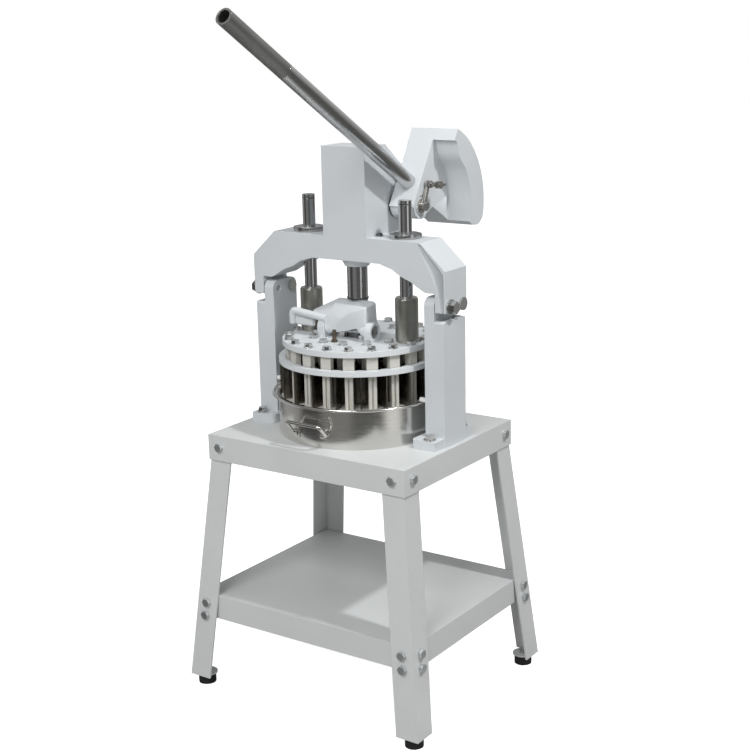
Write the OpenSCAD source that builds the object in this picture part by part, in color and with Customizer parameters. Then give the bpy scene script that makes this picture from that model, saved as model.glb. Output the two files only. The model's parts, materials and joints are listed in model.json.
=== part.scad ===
// Manual dough divider: a lever press that divides a round slab of dough into equal pieces.
// A round knife frame and press plate hang from a toothed ram over a pan, on a sheet steel stand.
// Millimetres. X points right, Y to the back, Z up.
// The origin is on the table top, on the axis of the ram.

/* [Stand] */
// Width of the table top, side to side
table_w = 520; // [490:5:600]
// Depth of the table top, front to back
table_d = 439; // [420:1:520]
// Height of the table top above the floor
stand_h = 594; // [500:1:800]
// Depth of the skirt folded down round the table top
skirt_h = 58; // [45:1:80]
// Thickness of the sheet of the table top and shelf
sheet_t = 3; // [2:0.5:4]
// Width of each flange of a leg
leg_flange = 55; // [45:1:65]
// Thickness of a leg
leg_t = 4; // [3:0.5:6]
// Lean of the legs to the side, in degrees
leg_lean_side = 6; // [0:0.5:8]
// Lean of the legs to the front and the back, in degrees
leg_lean_front = 5; // [0:0.5:7]
// Height of the shelf's top above the floor
shelf_height = 222; // [150:1:350]
// Depth of the skirt folded down round the shelf
shelf_skirt = 56; // [40:1:80]
// Diameter of a rubber foot
foot_d = 40; // [30:1:44]
// Height of a rubber foot
foot_h = 22; // [15:1:40]
// Diameter of the bolts that hold the stand's sheets and legs
stand_bolt_d = 8; // [6:1:10]
// Width across the flats of their heads
stand_bolt_head = 17; // [12:1:19]
// Reach of the base plate past the column bolts
base_margin = 25; // [18:1:30]
// Thickness of the base plate hidden under the table top
base_t = 12; // [8:1:20]

/* [Columns] */
// Distance from the middle of the machine to a column's inner face
column_x = 200; // [198:1:215]
// Thickness of a column's inner ear, which carries the yoke
ear_t = 25; // [18:1:30]
// Height of the ear's top above the table
ear_top = 320; // [315:1:326]
// Width of the hollow shoulder outside the ear
shoulder_w = 24; // [20:1:30]
// Height of the shoulder's top above the table
shoulder_top = 272; // [200:1:285]
// Thickness of the shoulder's walls
shoulder_wall = 9; // [6:1:11]
// Reach of the column and the yoke in front of the ram axis
front_reach = 45; // [44:1:60]
// Reach of the column and the yoke behind the ram axis
back_reach = 40; // [38:1:50]
// Thickness of a column's foot flange
flange_t = 20; // [12:1:26]
// Reach of a foot flange past the column, at the front and at the back
flange_reach = 35; // [32:1:50]
// Radius of a column bolt
column_bolt_r = 6; // [5:0.5:8]
// Width across the flats of a column bolt's head
column_bolt_head = 19; // [16:1:24]
// Diameter of the button that keeps the pan's rim down
button_d = 11; // [8:1:14]
// Reach of the button from the column's face
button_reach = 15; // [10:1:20]

/* [Yoke and gear housing] */
// Height of the yoke's flat top above the table
yoke_top = 434; // [430:1:450]
// Gap between the column's ear and the yoke's end
yoke_gap = 2; // [1:0.5:4]
// Thickness of the yoke's ends
yoke_end_t = 25; // [18:1:35]
// Height of the yoke's underside in the middle
yoke_under = 382; // [380:1:390]
// Length of the collar below the yoke, round the ram
collar_h = 16; // [8:1:30]
// Width of the gear housing
housing_w = 112; // [104:1:116]
// Rise of the gear housing's flat roof above the lever's shaft
housing_rise = 132; // [129:1:160]
// Distance of the housing's back from the ram axis
housing_back = 124; // [122:1:140]
// Thickness of the housing's walls
housing_wall = 9; // [6:0.5:11]
// Thickness of the cover plate on the housing's back
cover_t = 3; // [2:0.5:6]

/* [Rack and pinion] */
// Distance of the lever's shaft behind the ram axis
shaft_y = 70; // [70:0.5:75]
// Rise of the lever's shaft above the yoke's flat top
shaft_rise = 59; // [58:1:64]
// Diameter of the lever's shaft
shaft_d = 30; // [20:1:36]
// Module of the teeth
tooth_module = 4.5; // [4.5:0.1:4.6]
// Number of teeth on the pinion
teeth = 20; // [20:1:20]
// Width of the pinion
pinion_w = 30; // [26:1:40]
// Width of the rack bar
rack_w = 24; // [16:1:28]
// Depth from the ram axis to the bottom of the rack's slot
slot_y = 12; // [8:0.5:14]
// Play between the teeth
tooth_play = 0.3; // [0.2:0.05:0.5]

/* [Ram and guides] */
// Diameter of the ram
ram_d = 45; // [40:1:50]
// Rise of the ram's top above the lever's shaft
ram_rise = 78; // [74:1:80]
// Distance of each guide rod from the ram axis
guide_x = 127; // [126:1:132]
// Diameter of a guide rod
rod_d = 28; // [22:1:28]
// Rise of a guide rod's top above the yoke's flat top
rod_rise = 80; // [74:1:96]
// Diameter of a guide cylinder
cylinder_d = 50; // [40:1:50]
// Height of a guide cylinder's top above the table
cylinder_top = 307; // [280:1:308]
// Width across the flats of a guide bush's flange
bush_flange = 66; // [56:1:67]
// Height of a guide bush's flange
bush_flange_h = 10; // [6:1:12]

/* [Press plate] */
// Radius of the press plate
plate_r = 168; // [168:1:172]
// Height of the press plate's underside above the table
plate_z = 197; // [197:0.5:200]
// Thickness of the press plate
plate_t = 12.5; // [10:0.5:16]
// Width of a post, along its ring of posts
post_w = 24; // [20:0.5:25]
// Depth of a post, from its inner to its outer face
post_depth = 13; // [12:0.5:15]
// Distance of the outer posts' middles from the ram axis
outer_post_r = 154.5; // [152:0.5:155]
// Distance of the middle posts' middles from the ram axis
middle_post_r = 100; // [96:0.5:103]
// Distance of the inner posts' middles from the ram axis
inner_post_r = 38; // [36:0.5:40]
// Width of the slender stem below a post
stem_w = 17.5; // [14:0.5:20]
// Depth of the stem
stem_depth = 10; // [8:0.5:12]
// Width of the slot in a stem's outer face
stem_slot = 4; // [2:0.5:6]
// Diameter of the bolt in a post
post_bolt_d = 8; // [6:0.5:8]
// Width across the flats of a post bolt's head
post_bolt_head = 16; // [13:1:17]
// Height of the press segments' undersides above the table
segment_z = 73.5; // [70:0.5:76]
// Thickness of a press segment
segment_t = 10; // [6:1:14]
// Number of outer pieces of dough
outer_count = 20; // [20:1:20]
// Number of middle pieces of dough
middle_count = 12; // [12:1:12]
// Number of inner pieces of dough
inner_count = 4; // [4:1:4]

/* [Knife frame] */
// Radius of the knife ring
ring_r = 177; // [176:0.5:178]
// Inner radius of the knife ring
ring_inner_r = 160; // [156:0.5:164]
// Height of the knife ring's underside above the table
ring_z = 158; // [150:1:160]
// Thickness of the knife ring
ring_t = 11.5; // [8:0.5:12]
// Width of the notches in the ring that the posts pass through
notch_w = 35; // [28:0.5:38]
// Depth of the notches, into the ring
notch_depth = 3; // [2.5:0.5:5]
// Radius of the hub on the blades' middle
hub_r = 28; // [24:0.5:28]
// Thickness of a blade
blade_t = 2; // [1:0.25:2.5]
// Radius of the circle that the blades' outer ends lie on
blade_r = 176; // [174:0.5:176]

/* [Latch] */
// Distance of the latch pin in front of the ram axis
pin_y = 38.5; // [36:0.5:40]
// Height of the latch pin above the press plate
pin_rise = 22; // [20:0.5:26]
// Diameter of the latch pin
pin_d = 16; // [10:1:18]
// Distance of the ears' outer faces from the ram axis
ear_out = 70; // [68:1:74]
// Thickness of an ear
latch_ear_t = 16; // [10:1:16]
// Length of the hand bar's reach to the left of the ram axis
hand_reach = 157; // [130:1:165]
// Diameter of the hand bar
hand_d = 17; // [12:1:18]
// Height of the latch's top above the press plate
latch_rise = 82; // [78:1:84]
// Distance of the latch's stop stud in front of the ram axis
stop_y = 80; // [78:1:84]
// Height of the stop stud above the press plate
stop_h = 26.5; // [24:0.5:26.5]

/* [Pan] */
// Outer radius of the pan's wall
pan_r = 180; // [180:0.5:184]
// Thickness of the pan's sheet
pan_t = 1.5; // [1:0.25:2]
// Height of the pan
pan_h = 91.5; // [80:0.5:93]
// Outer radius of the rolled rim
rim_r = 194; // [192:0.5:195]
// Diameter of the rolled rim's bead
bead_d = 6; // [5:0.5:8]
// Diameter of the handle's wire
wire_d = 8; // [5:0.5:9]
// Half the distance between the two arms of a handle
handle_half = 46; // [40:1:55]
// Reach of the handle out from the pan's wall
handle_reach = 29; // [20:1:30]
// Rise of the handle above its brackets
handle_rise = 26; // [10:1:30]

/* [Lever] */
// Angle of the lever above the horizontal as it stands, in degrees
lever_angle = 31; // [20:1:31]
// Diameter of the lever's boss
boss_d = 56; // [48:1:58]
// Distance of the lever casting's left face from the ram axis
lever_x = 61; // [60.5:0.5:64]
// Thickness of the boss and the web
web_t = 61; // [50:1:64]
// Distance of the tube's axis above the shaft, square to the tube
tube_offset = 42; // [40:0.5:46]
// Outer diameter of the lever tube
tube_d = 33.7; // [26:0.1:34]
// Distance from the shaft to the lever's tip, along the tube
lever_length = 711; // [500:1:900]
// Length of the knurled grip
grip_length = 194; // [120:1:220]
// Bore of the lever's open end
grip_bore = 26; // [18:0.5:27]
// Outer radius of the counterweight's rim
weight_r = 172; // [160:1:176]
// Inner radius of the counterweight's rim
weight_inner_r = 109; // [100:1:116]
// Width of the counterweight's rim
weight_w = 116; // [90:1:120]

/* [Hidden] */

$fn = 72;
// Clearances: round running fits, still bolts in their holes, soft gaps between moving faces
run_gap = 0.05;
hole_gap = 0.2;
face_gap = 0.3;
cut = 1;

// Places worked out from the sizes above
floor_z = -stand_h;
leg_bottom = floor_z + foot_h;
seat_x = table_w / 2 - sheet_t - hole_gap;
seat_y = table_d / 2 - sheet_t - hole_gap;
slope_x = tan(leg_lean_side);
slope_y = tan(leg_lean_front) / cos(leg_lean_side);
shelf_z = floor_z + shelf_height;
stand_bolt_r = stand_bolt_d / 2;
// Height of a bolt's head, for the width across its flats
head_share = 0.42;
stand_head_h = head_share * stand_bolt_head;
leg_hole_r = stand_bolt_r + hole_gap;
foot_inset = 0.65 * foot_d;
leg_plate_r = foot_inset - leg_t / 2;
stud_r = foot_d / 8;
stud_nut = 3.4 * stud_r;

yoke_mid = (back_reach - front_reach) / 2;
yoke_depth = front_reach + back_reach;
yoke_inner = column_x + ear_t + yoke_gap;
yoke_half = yoke_inner + yoke_end_t;
pin_z = ear_top - 19;
lock_y = -front_reach + 20;
pivot_y = back_reach - 18;
lock_r = 8;
pivot_r = 10;
shaft_z = yoke_top + shaft_rise;
housing_top = shaft_z + housing_rise;
ram_top = shaft_z + ram_rise;
rod_top = yoke_top + rod_rise;
column_bolt_x = column_x + ear_t;
column_bolt_dy = yoke_depth / 2 + 22;
stalk_r = 3;
button_z = pan_h + button_d / 2 + 0.5;
button_y = -front_reach + button_d / 2 + 0.5;
// How far a foot flange reaches in past the ear and stays back from the shoulder's face
flange_inward = 14;
flange_setback = 3;
flange_corner_r = 10;
pan_room = 6;

pitch_r = tooth_module * teeth / 2;
addendum = tooth_module;
dedendum = 1.24 * tooth_module;
pressure = 20;
pitch_y = shaft_y - pitch_r;
tooth_pitch = PI * tooth_module;
ram_r = ram_d / 2;
rod_r = rod_d / 2;
down_stroke = 52;
up_stroke = 39.5;
rack_low = shaft_z - up_stroke - tooth_pitch;
rack_high = shaft_z + down_stroke + 1.2 * tooth_pitch;
housing_half = housing_w / 2;
bush_r = shaft_d / 2 + 7;
bush_flange_t = 3.5;

plate_top = plate_z + plate_t;
cell_r_inner = blade_r / 3;
cell_r_middle = 2 * blade_r / 3;
knife_z = pan_t + face_gap + down_stroke + 1.2;
post_bolt_r = post_bolt_d / 2;
post_head_h = head_share * post_bolt_head;
post_bolt_depth = 26;
washer_t = 2;
hanger_r = 15;
hanger_shank = 4;
hanger_head_r = 7.5;
hanger_depth = 8;
latch_pin_z = plate_top + pin_rise;

// Draws an outline given in Y and Z between two distances along X
module along_x(x_low, x_high) {
    translate([x_low, 0, 0])
        rotate([90, 0, 90])
            linear_extrude(x_high - x_low)
                children();
}

// Draws an outline given in X and Z between two distances along Y
module along_y(y_low, y_high) {
    translate([0, y_high, 0])
        rotate([90, 0, 0])
            linear_extrude(y_high - y_low)
                children();
}

// A cylinder along X between two distances
module rod_x(x_low, x_high, r) {
    translate([x_low, 0, 0])
        rotate([0, 90, 0])
            cylinder(r = r, h = x_high - x_low);
}

// A six-sided head or nut standing on z = 0
module hexagon(across, height) {
    cylinder(d = across / cos(30), h = height, $fn = 6);
}

// Copies its children to the left side as well
module both_sides() {
    children();
    mirror([1, 0, 0])
        children();
}

// Copies its children to the left and to the front as well
module four_corners() {
    both_sides() {
        children();
        mirror([0, 1, 0])
            children();
    }
}

// The place of a leg's outer edge at a height
function leg_x(z) = seat_x + slope_x * (-skirt_h - z);
function leg_y(z) = seat_y + slope_y * (-skirt_h - z);

// Stand

// A sheet with its edges folded down
module tray(half_x, half_y, top, depth) {
    difference() {
        translate([-half_x, -half_y, top - depth])
            cube([2 * half_x, 2 * half_y, depth]);
        translate([sheet_t - half_x, sheet_t - half_y, top - depth - cut])
            cube([2 * (half_x - sheet_t), 2 * (half_y - sheet_t), depth - sheet_t + cut]);
    }
}

module column_bolt_places() {
    both_sides()
        for (side = [-1, 1])
            translate([column_bolt_x, yoke_mid + side * column_bolt_dy, 0])
                children();
}

// Places of the skirt bolts on the front and back, with Z pointing inwards
skirt_bolt_z = -skirt_h * 0.45;
skirt_bolt_x = table_w / 2 - 31;
skirt_bolt_y = table_d / 2 - 30;
module skirt_bolt_places() {
    four_corners() {
        translate([skirt_bolt_x, table_d / 2, skirt_bolt_z])
            rotate([90, 0, 0])
                children();
        translate([table_w / 2, skirt_bolt_y, skirt_bolt_z])
            rotate([0, -90, 0])
                children();
    }
}

// Places of the shelf bolts on the legs' outer faces, with Z pointing inwards
shelf_bolt_heights = [shelf_z - 0.34 * shelf_skirt, shelf_z - 0.875 * shelf_skirt];
// Room below a level bolt's head for the lean of the leg
lean_gap = 0.9;
module shelf_bolt_places() {
    four_corners()
        for (z = shelf_bolt_heights) {
            translate([leg_x(z) - leg_flange / 2, leg_y(z) + lean_gap, z])
                rotate([90, 0, 0])
                    children();
            translate([leg_x(z) + lean_gap, leg_y(z) - leg_flange / 2, z])
                rotate([0, -90, 0])
                    children();
        }
}

module table_top() {
    color("gainsboro")
        difference() {
            tray(table_w / 2, table_d / 2, 0, skirt_h);
            column_bolt_places()
                translate([0, 0, -sheet_t - cut])
                    cylinder(r = column_bolt_r + hole_gap, h = sheet_t + 2 * cut);
            skirt_bolt_places()
                translate([0, 0, -cut])
                    cylinder(r = leg_hole_r, h = sheet_t + 2 * cut);
        }
}

module base_plate() {
    base_w = 2 * (column_bolt_x + base_margin - 5);
    base_d = 2 * (column_bolt_dy + base_margin);
    color("dimgray")
        difference() {
            translate([-base_w / 2, yoke_mid - base_d / 2, -sheet_t - base_t])
                cube([base_w, base_d, base_t]);
            column_bolt_places()
                translate([0, 0, -sheet_t - base_t - cut])
                    cylinder(r = column_bolt_r + hole_gap, h = base_t + 2 * cut);
        }
}

module leg() {
    length = stand_h + 80;
    color("gainsboro")
        difference() {
            union() {
                intersection() {
                    translate([seat_x, seat_y, -skirt_h])
                        rotate([leg_lean_front, -leg_lean_side, 0])
                            translate([0, 0, -length])
                                linear_extrude(2 * length)
                                    difference() {
                                        translate([-leg_flange, -leg_flange])
                                            square(leg_flange);
                                        translate([-leg_flange - cut, -leg_flange - cut])
                                            square(leg_flange - leg_t + cut);
                                    }
                    translate([0, 0, leg_bottom])
                        cube([table_w, table_d, -sheet_t - leg_bottom]);
                }
                translate([leg_x(leg_bottom) - foot_inset, leg_y(leg_bottom) - foot_inset, leg_bottom]) {
                    cylinder(r = leg_plate_r, h = sheet_t);
                    cube([leg_plate_r, leg_plate_r, sheet_t]);
                }
            }
            translate([leg_x(leg_bottom) - foot_inset, leg_y(leg_bottom) - foot_inset, leg_bottom - cut])
                cylinder(r = stud_r + hole_gap, h = sheet_t + 2 * cut);
            translate([skirt_bolt_x, table_d / 2 + cut, skirt_bolt_z])
                rotate([90, 0, 0])
                    cylinder(r = leg_hole_r, h = 20);
            translate([table_w / 2 + cut, skirt_bolt_y, skirt_bolt_z])
                rotate([0, -90, 0])
                    cylinder(r = leg_hole_r, h = 24);
            for (z = shelf_bolt_heights) {
                translate([leg_x(z) - leg_flange / 2, leg_y(z) + 5, z])
                    rotate([90, 0, 0])
                        cylinder(r = leg_hole_r, h = 16);
                translate([leg_x(z) + 5, leg_y(z) - leg_flange / 2, z])
                    rotate([0, -90, 0])
                        cylinder(r = leg_hole_r, h = 16);
            }
        }
}

module leg_front_right() mirror([0, 1, 0]) leg();
module leg_front_left() mirror([1, 0, 0]) leg_front_right();
module leg_back_left() mirror([1, 0, 0]) leg();
module leg_back_right() leg();

shelf_half_x = leg_x(shelf_z) - leg_t - 1.2;
shelf_half_y = leg_y(shelf_z) - leg_t - 1.2;
module shelf() {
    color("gainsboro")
        difference() {
            tray(shelf_half_x, shelf_half_y, shelf_z, shelf_skirt);
            shelf_bolt_places()
                cylinder(r = leg_hole_r, h = 24);
        }
}

module feet() {
    color([0.1, 0.1, 0.11])
        four_corners()
            translate([leg_x(leg_bottom) - foot_inset, leg_y(leg_bottom) - foot_inset, floor_z])
                difference() {
                    cylinder(d = foot_d, h = foot_h);
                    translate([0, 0, foot_h - 12])
                        cylinder(r = stud_r + hole_gap, h = 12 + cut);
                }
}

// A foot's stud with its nut on the leg's plate
module foot_studs() {
    color("dimgray")
        four_corners()
            translate([leg_x(leg_bottom) - foot_inset, leg_y(leg_bottom) - foot_inset, leg_bottom]) {
                translate([0, 0, -11])
                    cylinder(r = stud_r, h = 26);
                translate([0, 0, sheet_t])
                    hexagon(stud_nut, head_share * stud_nut);
            }
}

module stand_bolt(length) {
    translate([0, 0, -stand_head_h])
        hexagon(stand_bolt_head, stand_head_h);
    cylinder(r = stand_bolt_r, h = length);
}

module skirt_bolts() {
    color("silver")
        skirt_bolt_places()
            stand_bolt(18);
}

module shelf_bolts() {
    color("silver")
        shelf_bolt_places()
            stand_bolt(20);
}

// Columns

// A rectangle in Y and Z whose two upper corners are round
module round_top(y_low, y_high, z_low, z_high, r) {
    translate([y_low, z_low])
        square([y_high - y_low, z_high - z_low - r]);
    translate([y_low + r, z_low])
        square([y_high - y_low - 2 * r, z_high - z_low]);
    for (y = [y_low + r, y_high - r])
        translate([y, z_high - r])
            circle(r);
}

// The foot flange, with round corners towards the middle and room for the pan
module column_flange() {
    low_x = column_x - flange_inward;
    high_x = column_x + ear_t + shoulder_w - flange_setback;
    far_y = yoke_depth / 2 + flange_reach;
    linear_extrude(flange_t)
        difference() {
            translate([0, yoke_mid]) {
                translate([low_x, flange_corner_r - far_y])
                    square([high_x - low_x, 2 * (far_y - flange_corner_r)]);
                translate([low_x + flange_corner_r, -far_y])
                    square([high_x - low_x - flange_corner_r, 2 * far_y]);
                for (side = [-1, 1])
                    translate([low_x + flange_corner_r, side * (far_y - flange_corner_r)])
                        circle(flange_corner_r);
            }
            circle(r = pan_r + pan_room);
        }
}

ear_corner_r = 18;
shoulder_corner_r = 6;
shoulder_notch_r = 6;
stalk_length = 14;
module column() {
    shoulder_x = column_x + ear_t;
    color("gainsboro")
        difference() {
            union() {
                along_x(column_x, shoulder_x)
                    round_top(-front_reach, back_reach, 0, ear_top, ear_corner_r);
                along_x(shoulder_x - cut, shoulder_x + shoulder_w)
                    round_top(-front_reach, back_reach, 0, shoulder_top, shoulder_corner_r);
                column_flange();
            }
            translate([shoulder_x, shoulder_wall - front_reach, flange_t])
                cube([shoulder_w - shoulder_wall, yoke_depth - 2 * shoulder_wall, ear_top]);
            translate([shoulder_x + shoulder_w - shoulder_wall - cut, yoke_mid + 5, shoulder_top])
                rod_x(0, shoulder_wall + 2 * cut, shoulder_notch_r);
            translate([0, lock_y, pin_z])
                rod_x(column_x - cut, shoulder_x + cut, lock_r + hole_gap);
            translate([0, pivot_y, pin_z])
                rod_x(column_x - cut, shoulder_x + cut, pivot_r + hole_gap);
            translate([0, button_y, button_z])
                rod_x(column_x - cut, column_x + stalk_length + cut, stalk_r + hole_gap);
            for (side = [-1, 1])
                translate([column_bolt_x, yoke_mid + side * column_bolt_dy, -cut])
                    cylinder(r = column_bolt_r + hole_gap, h = flange_t + 2 * cut);
        }
}

module column_right() column();
module column_left() mirror([1, 0, 0]) column();

module column_bolts() {
    nut_h = head_share * column_bolt_head;
    shank = flange_t + sheet_t + base_t + nut_h;
    color("silver")
        column_bolt_places() {
            translate([0, 0, flange_t])
                cylinder(r = column_bolt_head / 2 + 3.5, h = washer_t + 1);
            translate([0, 0, flange_t + washer_t + 1])
                hexagon(column_bolt_head, nut_h);
            translate([0, 0, flange_t - shank])
                cylinder(r = column_bolt_r, h = shank);
            translate([0, 0, flange_t - shank])
                hexagon(column_bolt_head, nut_h);
        }
}

// A round button with a stalk pressed into the column
module pan_hold_buttons() {
    color("whitesmoke")
        both_sides()
            translate([0, button_y, button_z]) {
                rod_x(column_x - button_reach, column_x, button_d / 2);
                rod_x(column_x - cut, column_x + stalk_length, stalk_r);
            }
}

// Yoke and gear housing

// The yoke's sloping shoulders: how far they reach in and down from its ends
shoulder_run = 61;
shoulder_drop = 56;
// The arch below the yoke, from the ear to the flat middle, as reach in from the ear and rise above it
arch = [[-3, 10], [4, 13], [33, 30], [59, 40]];
arch_end_run = 112;
arch_knee_run = 78;
arch_knee_drop = 10;
end_below_pin = 11;
module yoke_outline_half() {
    bottom = pin_z - end_below_pin;
    polygon([
        [0, yoke_top], [yoke_half - shoulder_run, yoke_top], [yoke_half, yoke_top - shoulder_drop],
        [yoke_half, bottom], [yoke_inner, bottom], [yoke_inner, ear_top + arch[0][1]],
        for (step = arch)
            [column_x - step[0], ear_top + step[1]],
        [column_x - arch_knee_run, yoke_under - arch_knee_drop], [column_x - arch_end_run, yoke_under],
        [0, yoke_under]
    ]);
}

roof_flat_y = 35;
roof_drop = (housing_back - roof_flat_y) * tan(38);
module housing_outline(wall, floor_front, floor_back) {
    // The sloping roof moves in by the wall, square to the slope
    slope_in = wall * tan(19);
    polygon([
        [wall - front_reach, floor_front], [wall - front_reach, housing_top - wall],
        [roof_flat_y - slope_in, housing_top - wall],
        [housing_back - wall, housing_top - roof_drop - wall / cos(38) + wall * tan(38)],
        [housing_back - wall, floor_back], [back_reach - wall, floor_back], [back_reach - wall, floor_front]
    ]);
}

cover_half_x = 40;
cover_low = shaft_z - 48;
cover_high = housing_top - roof_drop - 8;
window_x = 30;
window_low = shaft_z - 36;
window_high = cover_high - 12;
module cover_screw_places() {
    for (x = [-1, 1], z = [cover_low + 8, cover_high - 8])
        translate([x * (cover_half_x - 8), housing_back, z])
            rotate([-90, 0, 0])
                children();
}

// Thickness of the collar's lower edge, a third of its thickness at the top
collar_wall = 4.2;
module yoke() {
    slot_half = rack_w / 2 + 0.6;
    color("gainsboro")
        difference() {
            union() {
                along_y(-front_reach, back_reach)
                    both_sides()
                        yoke_outline_half();
                translate([0, 0, yoke_under - collar_h])
                    cylinder(r1 = ram_r + collar_wall, r2 = ram_r + 3 * collar_wall, h = collar_h);
                translate([0, 0, yoke_under - cut])
                    cylinder(r = ram_r + 3 * collar_wall, h = 2 * cut);
                along_x(-housing_half, housing_half)
                    housing_outline(0, yoke_top - cut, yoke_top);
            }
            along_x(housing_wall - housing_half, housing_half - housing_wall)
                housing_outline(housing_wall, yoke_top, yoke_top + housing_wall - 1);
            translate([0, 0, yoke_under - collar_h - cut])
                cylinder(r = ram_r + run_gap, h = collar_h + yoke_top - yoke_under + 2 * cut);
            translate([-slot_half, 0, yoke_under - collar_h - cut])
                cube([2 * slot_half, pitch_y + addendum + 1.2, collar_h + yoke_top - yoke_under + 2 * cut]);
            both_sides() {
                translate([guide_x, 0, yoke_top - bush_depth])
                    cylinder(r = bush_body_r + run_gap, h = bush_depth + cut);
                translate([guide_x, 0, ear_top])
                    cylinder(r = rod_r + 3, h = yoke_top - ear_top);
                translate([0, lock_y, pin_z])
                    rod_x(yoke_inner - cut, yoke_half + cut, lock_r + hole_gap);
                translate([0, pivot_y, pin_z])
                    rod_x(yoke_inner - cut, yoke_half + cut, pivot_r + hole_gap);
                translate([0, shaft_y, shaft_z])
                    rod_x(housing_half - housing_wall - cut, housing_half + cut, bush_r + run_gap);
            }
            translate([-window_x, housing_back - housing_wall - cut, window_low])
                cube([2 * window_x, housing_wall + 2 * cut, window_high - window_low]);
            cover_screw_places()
                translate([0, 0, -6])
                    cylinder(r = 2.5 + hole_gap, h = 7);
        }
}

// The round plug of the oil hole beside the housing
module oil_plug() {
    plug_r = 6.5;
    plug_h = 5;
    color("dimgray")
        translate([housing_half + plug_r + 1, -4, yoke_top]) {
            cylinder(r = plug_r, h = plug_h);
            translate([0, 0, plug_h])
                cylinder(r1 = plug_r, r2 = plug_r / 2, h = 2);
        }
}

module rear_cover() {
    color("gainsboro")
        difference() {
            translate([-cover_half_x, housing_back, cover_low])
                cube([2 * cover_half_x, cover_t, cover_high - cover_low]);
            cover_screw_places()
                translate([0, 0, -cut])
                    cylinder(r = 2.5 + hole_gap, h = cover_t + 2 * cut);
        }
}

module cover_screws() {
    color("silver")
        cover_screw_places() {
            translate([0, 0, cover_t])
                cylinder(r = 4.5, h = 3);
            translate([0, 0, -5])
                cylinder(r = 2.5, h = cover_t + 5);
        }
}

// The two hinge pins at the back of the yoke's ends
module pivot_pins() {
    color("dimgray")
        both_sides()
            translate([0, pivot_y, pin_z]) {
                rod_x(yoke_half, yoke_half + 5, 14);
                rod_x(column_x - 5, yoke_half + cut, pivot_r);
                rod_x(column_x + ear_t + hole_gap, yoke_inner - hole_gap, pivot_r + 4);
                rod_x(column_x - 5, column_x - hole_gap, pivot_r + 2.5);
            }
}

// The two bolts that lock the yoke down at the front
module lock_bolts() {
    color("silver")
        both_sides()
            translate([0, lock_y, pin_z]) {
                rod_x(yoke_half, yoke_half + 3, 17);
                translate([yoke_half + 3, 0, 0])
                    rotate([0, 90, 0])
                        hexagon(24, 13);
                rod_x(column_x + 4, yoke_half + cut, lock_r);
                rod_x(column_x + ear_t + hole_gap, yoke_inner - hole_gap, lock_r + 4);
            }
}

bush_depth = 48;
bush_body_r = rod_r + 6;
// A flanged bush for each guide rod, with a six-sided flange on the yoke
module guide_bushes() {
    color("slategray")
        both_sides()
            translate([guide_x, 0, yoke_top])
                difference() {
                    union() {
                        intersection() {
                            rotate([0, 0, 30])
                                hexagon(bush_flange, bush_flange_h);
                            cylinder(d = 1.06 * bush_flange, h = bush_flange_h);
                        }
                        translate([0, 0, -bush_depth])
                            cylinder(r = bush_body_r, h = bush_depth + cut);
                    }
                    translate([0, 0, -bush_depth - cut])
                        cylinder(r = rod_r + run_gap, h = bush_depth + bush_flange_h + 2 * cut);
                }
}

module shaft_bushes() {
    color("peru")
        both_sides()
            translate([0, shaft_y, shaft_z])
                difference() {
                    union() {
                        rod_x(pinion_w / 2 + 3, housing_half + cut, bush_r);
                        rod_x(housing_half, housing_half + bush_flange_t, bush_r + 5);
                    }
                    rod_x(0, housing_half + bush_flange_t + cut, shaft_d / 2 + run_gap);
                }
}

// Lever

boss_r = boss_d / 2;
web_x = lever_x + web_t;
tube_x = lever_x + web_t / 2;
tube_r = tube_d / 2;
tube_depth = 60;
weight_end = lever_x + weight_w;

// Draws its children with the first axis along the lever, outwards, and the second square to it, upwards
module lever_plane() {
    rotate(-lever_angle)
        mirror([1, 0])
            children();
}

// Puts its children on the tube's axis with Z pointing to the tip, starting at the shaft
module on_tube() {
    translate([tube_x, shaft_y, shaft_z])
        rotate([-lever_angle, 0, 0])
            translate([0, 0, tube_offset])
                rotate([90, 0, 0])
                    children();
}

// The foot of the rim, rounded, ten degrees below the horizontal
rim_foot_r = 30;
rim_foot = (weight_r - rim_foot_r) * [cos(-10), sin(-10)];

// The inner side of the rim's foot, as shares of the rim's inner radius
foot_inside = weight_inner_r * [[0.9, -0.257], [0.963, -0.376], [1.12, -0.486]];

module rim_outline() {
    rim_mid = (weight_r + weight_inner_r) / 2;
    difference() {
        intersection() {
            difference() {
                circle(weight_r, $fn = 180);
                circle(weight_inner_r, $fn = 180);
            }
            polygon([[0, 0], 2 * rim_foot, [2 * weight_r, 2 * weight_r], [-weight_r, 2 * weight_r]]);
        }
        lever_plane()
            translate([boss_r, -weight_r])
                square([weight_r, 3 * weight_r]);
    }
    translate(rim_foot)
        circle(rim_foot_r);
    polygon(concat([[rim_mid, 0], 0.98 * weight_inner_r * [cos(4), sin(4)]], foot_inside, [rim_foot]));
}

// The underside of the web, from the rim's foot to the boss, as shares of the rim's inner radius
web_under = weight_inner_r * [[1.193, -0.55], [0.908, -0.34], [0.422, -0.064], [0.156, -0.183]];
web_overlap = 8;
module web_outline() {
    circle(boss_r);
    intersection() {
        circle(weight_inner_r + web_overlap, $fn = 180);
        difference() {
            polygon(concat(
                [[-1.4 * boss_r, 0], [0, 2 * weight_r], [2 * weight_r, weight_r]], web_under, [[0, 0]]
            ));
            lever_plane()
                translate([boss_r, -weight_r])
                    square([weight_r, 3 * weight_r]);
        }
    }
}

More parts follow.
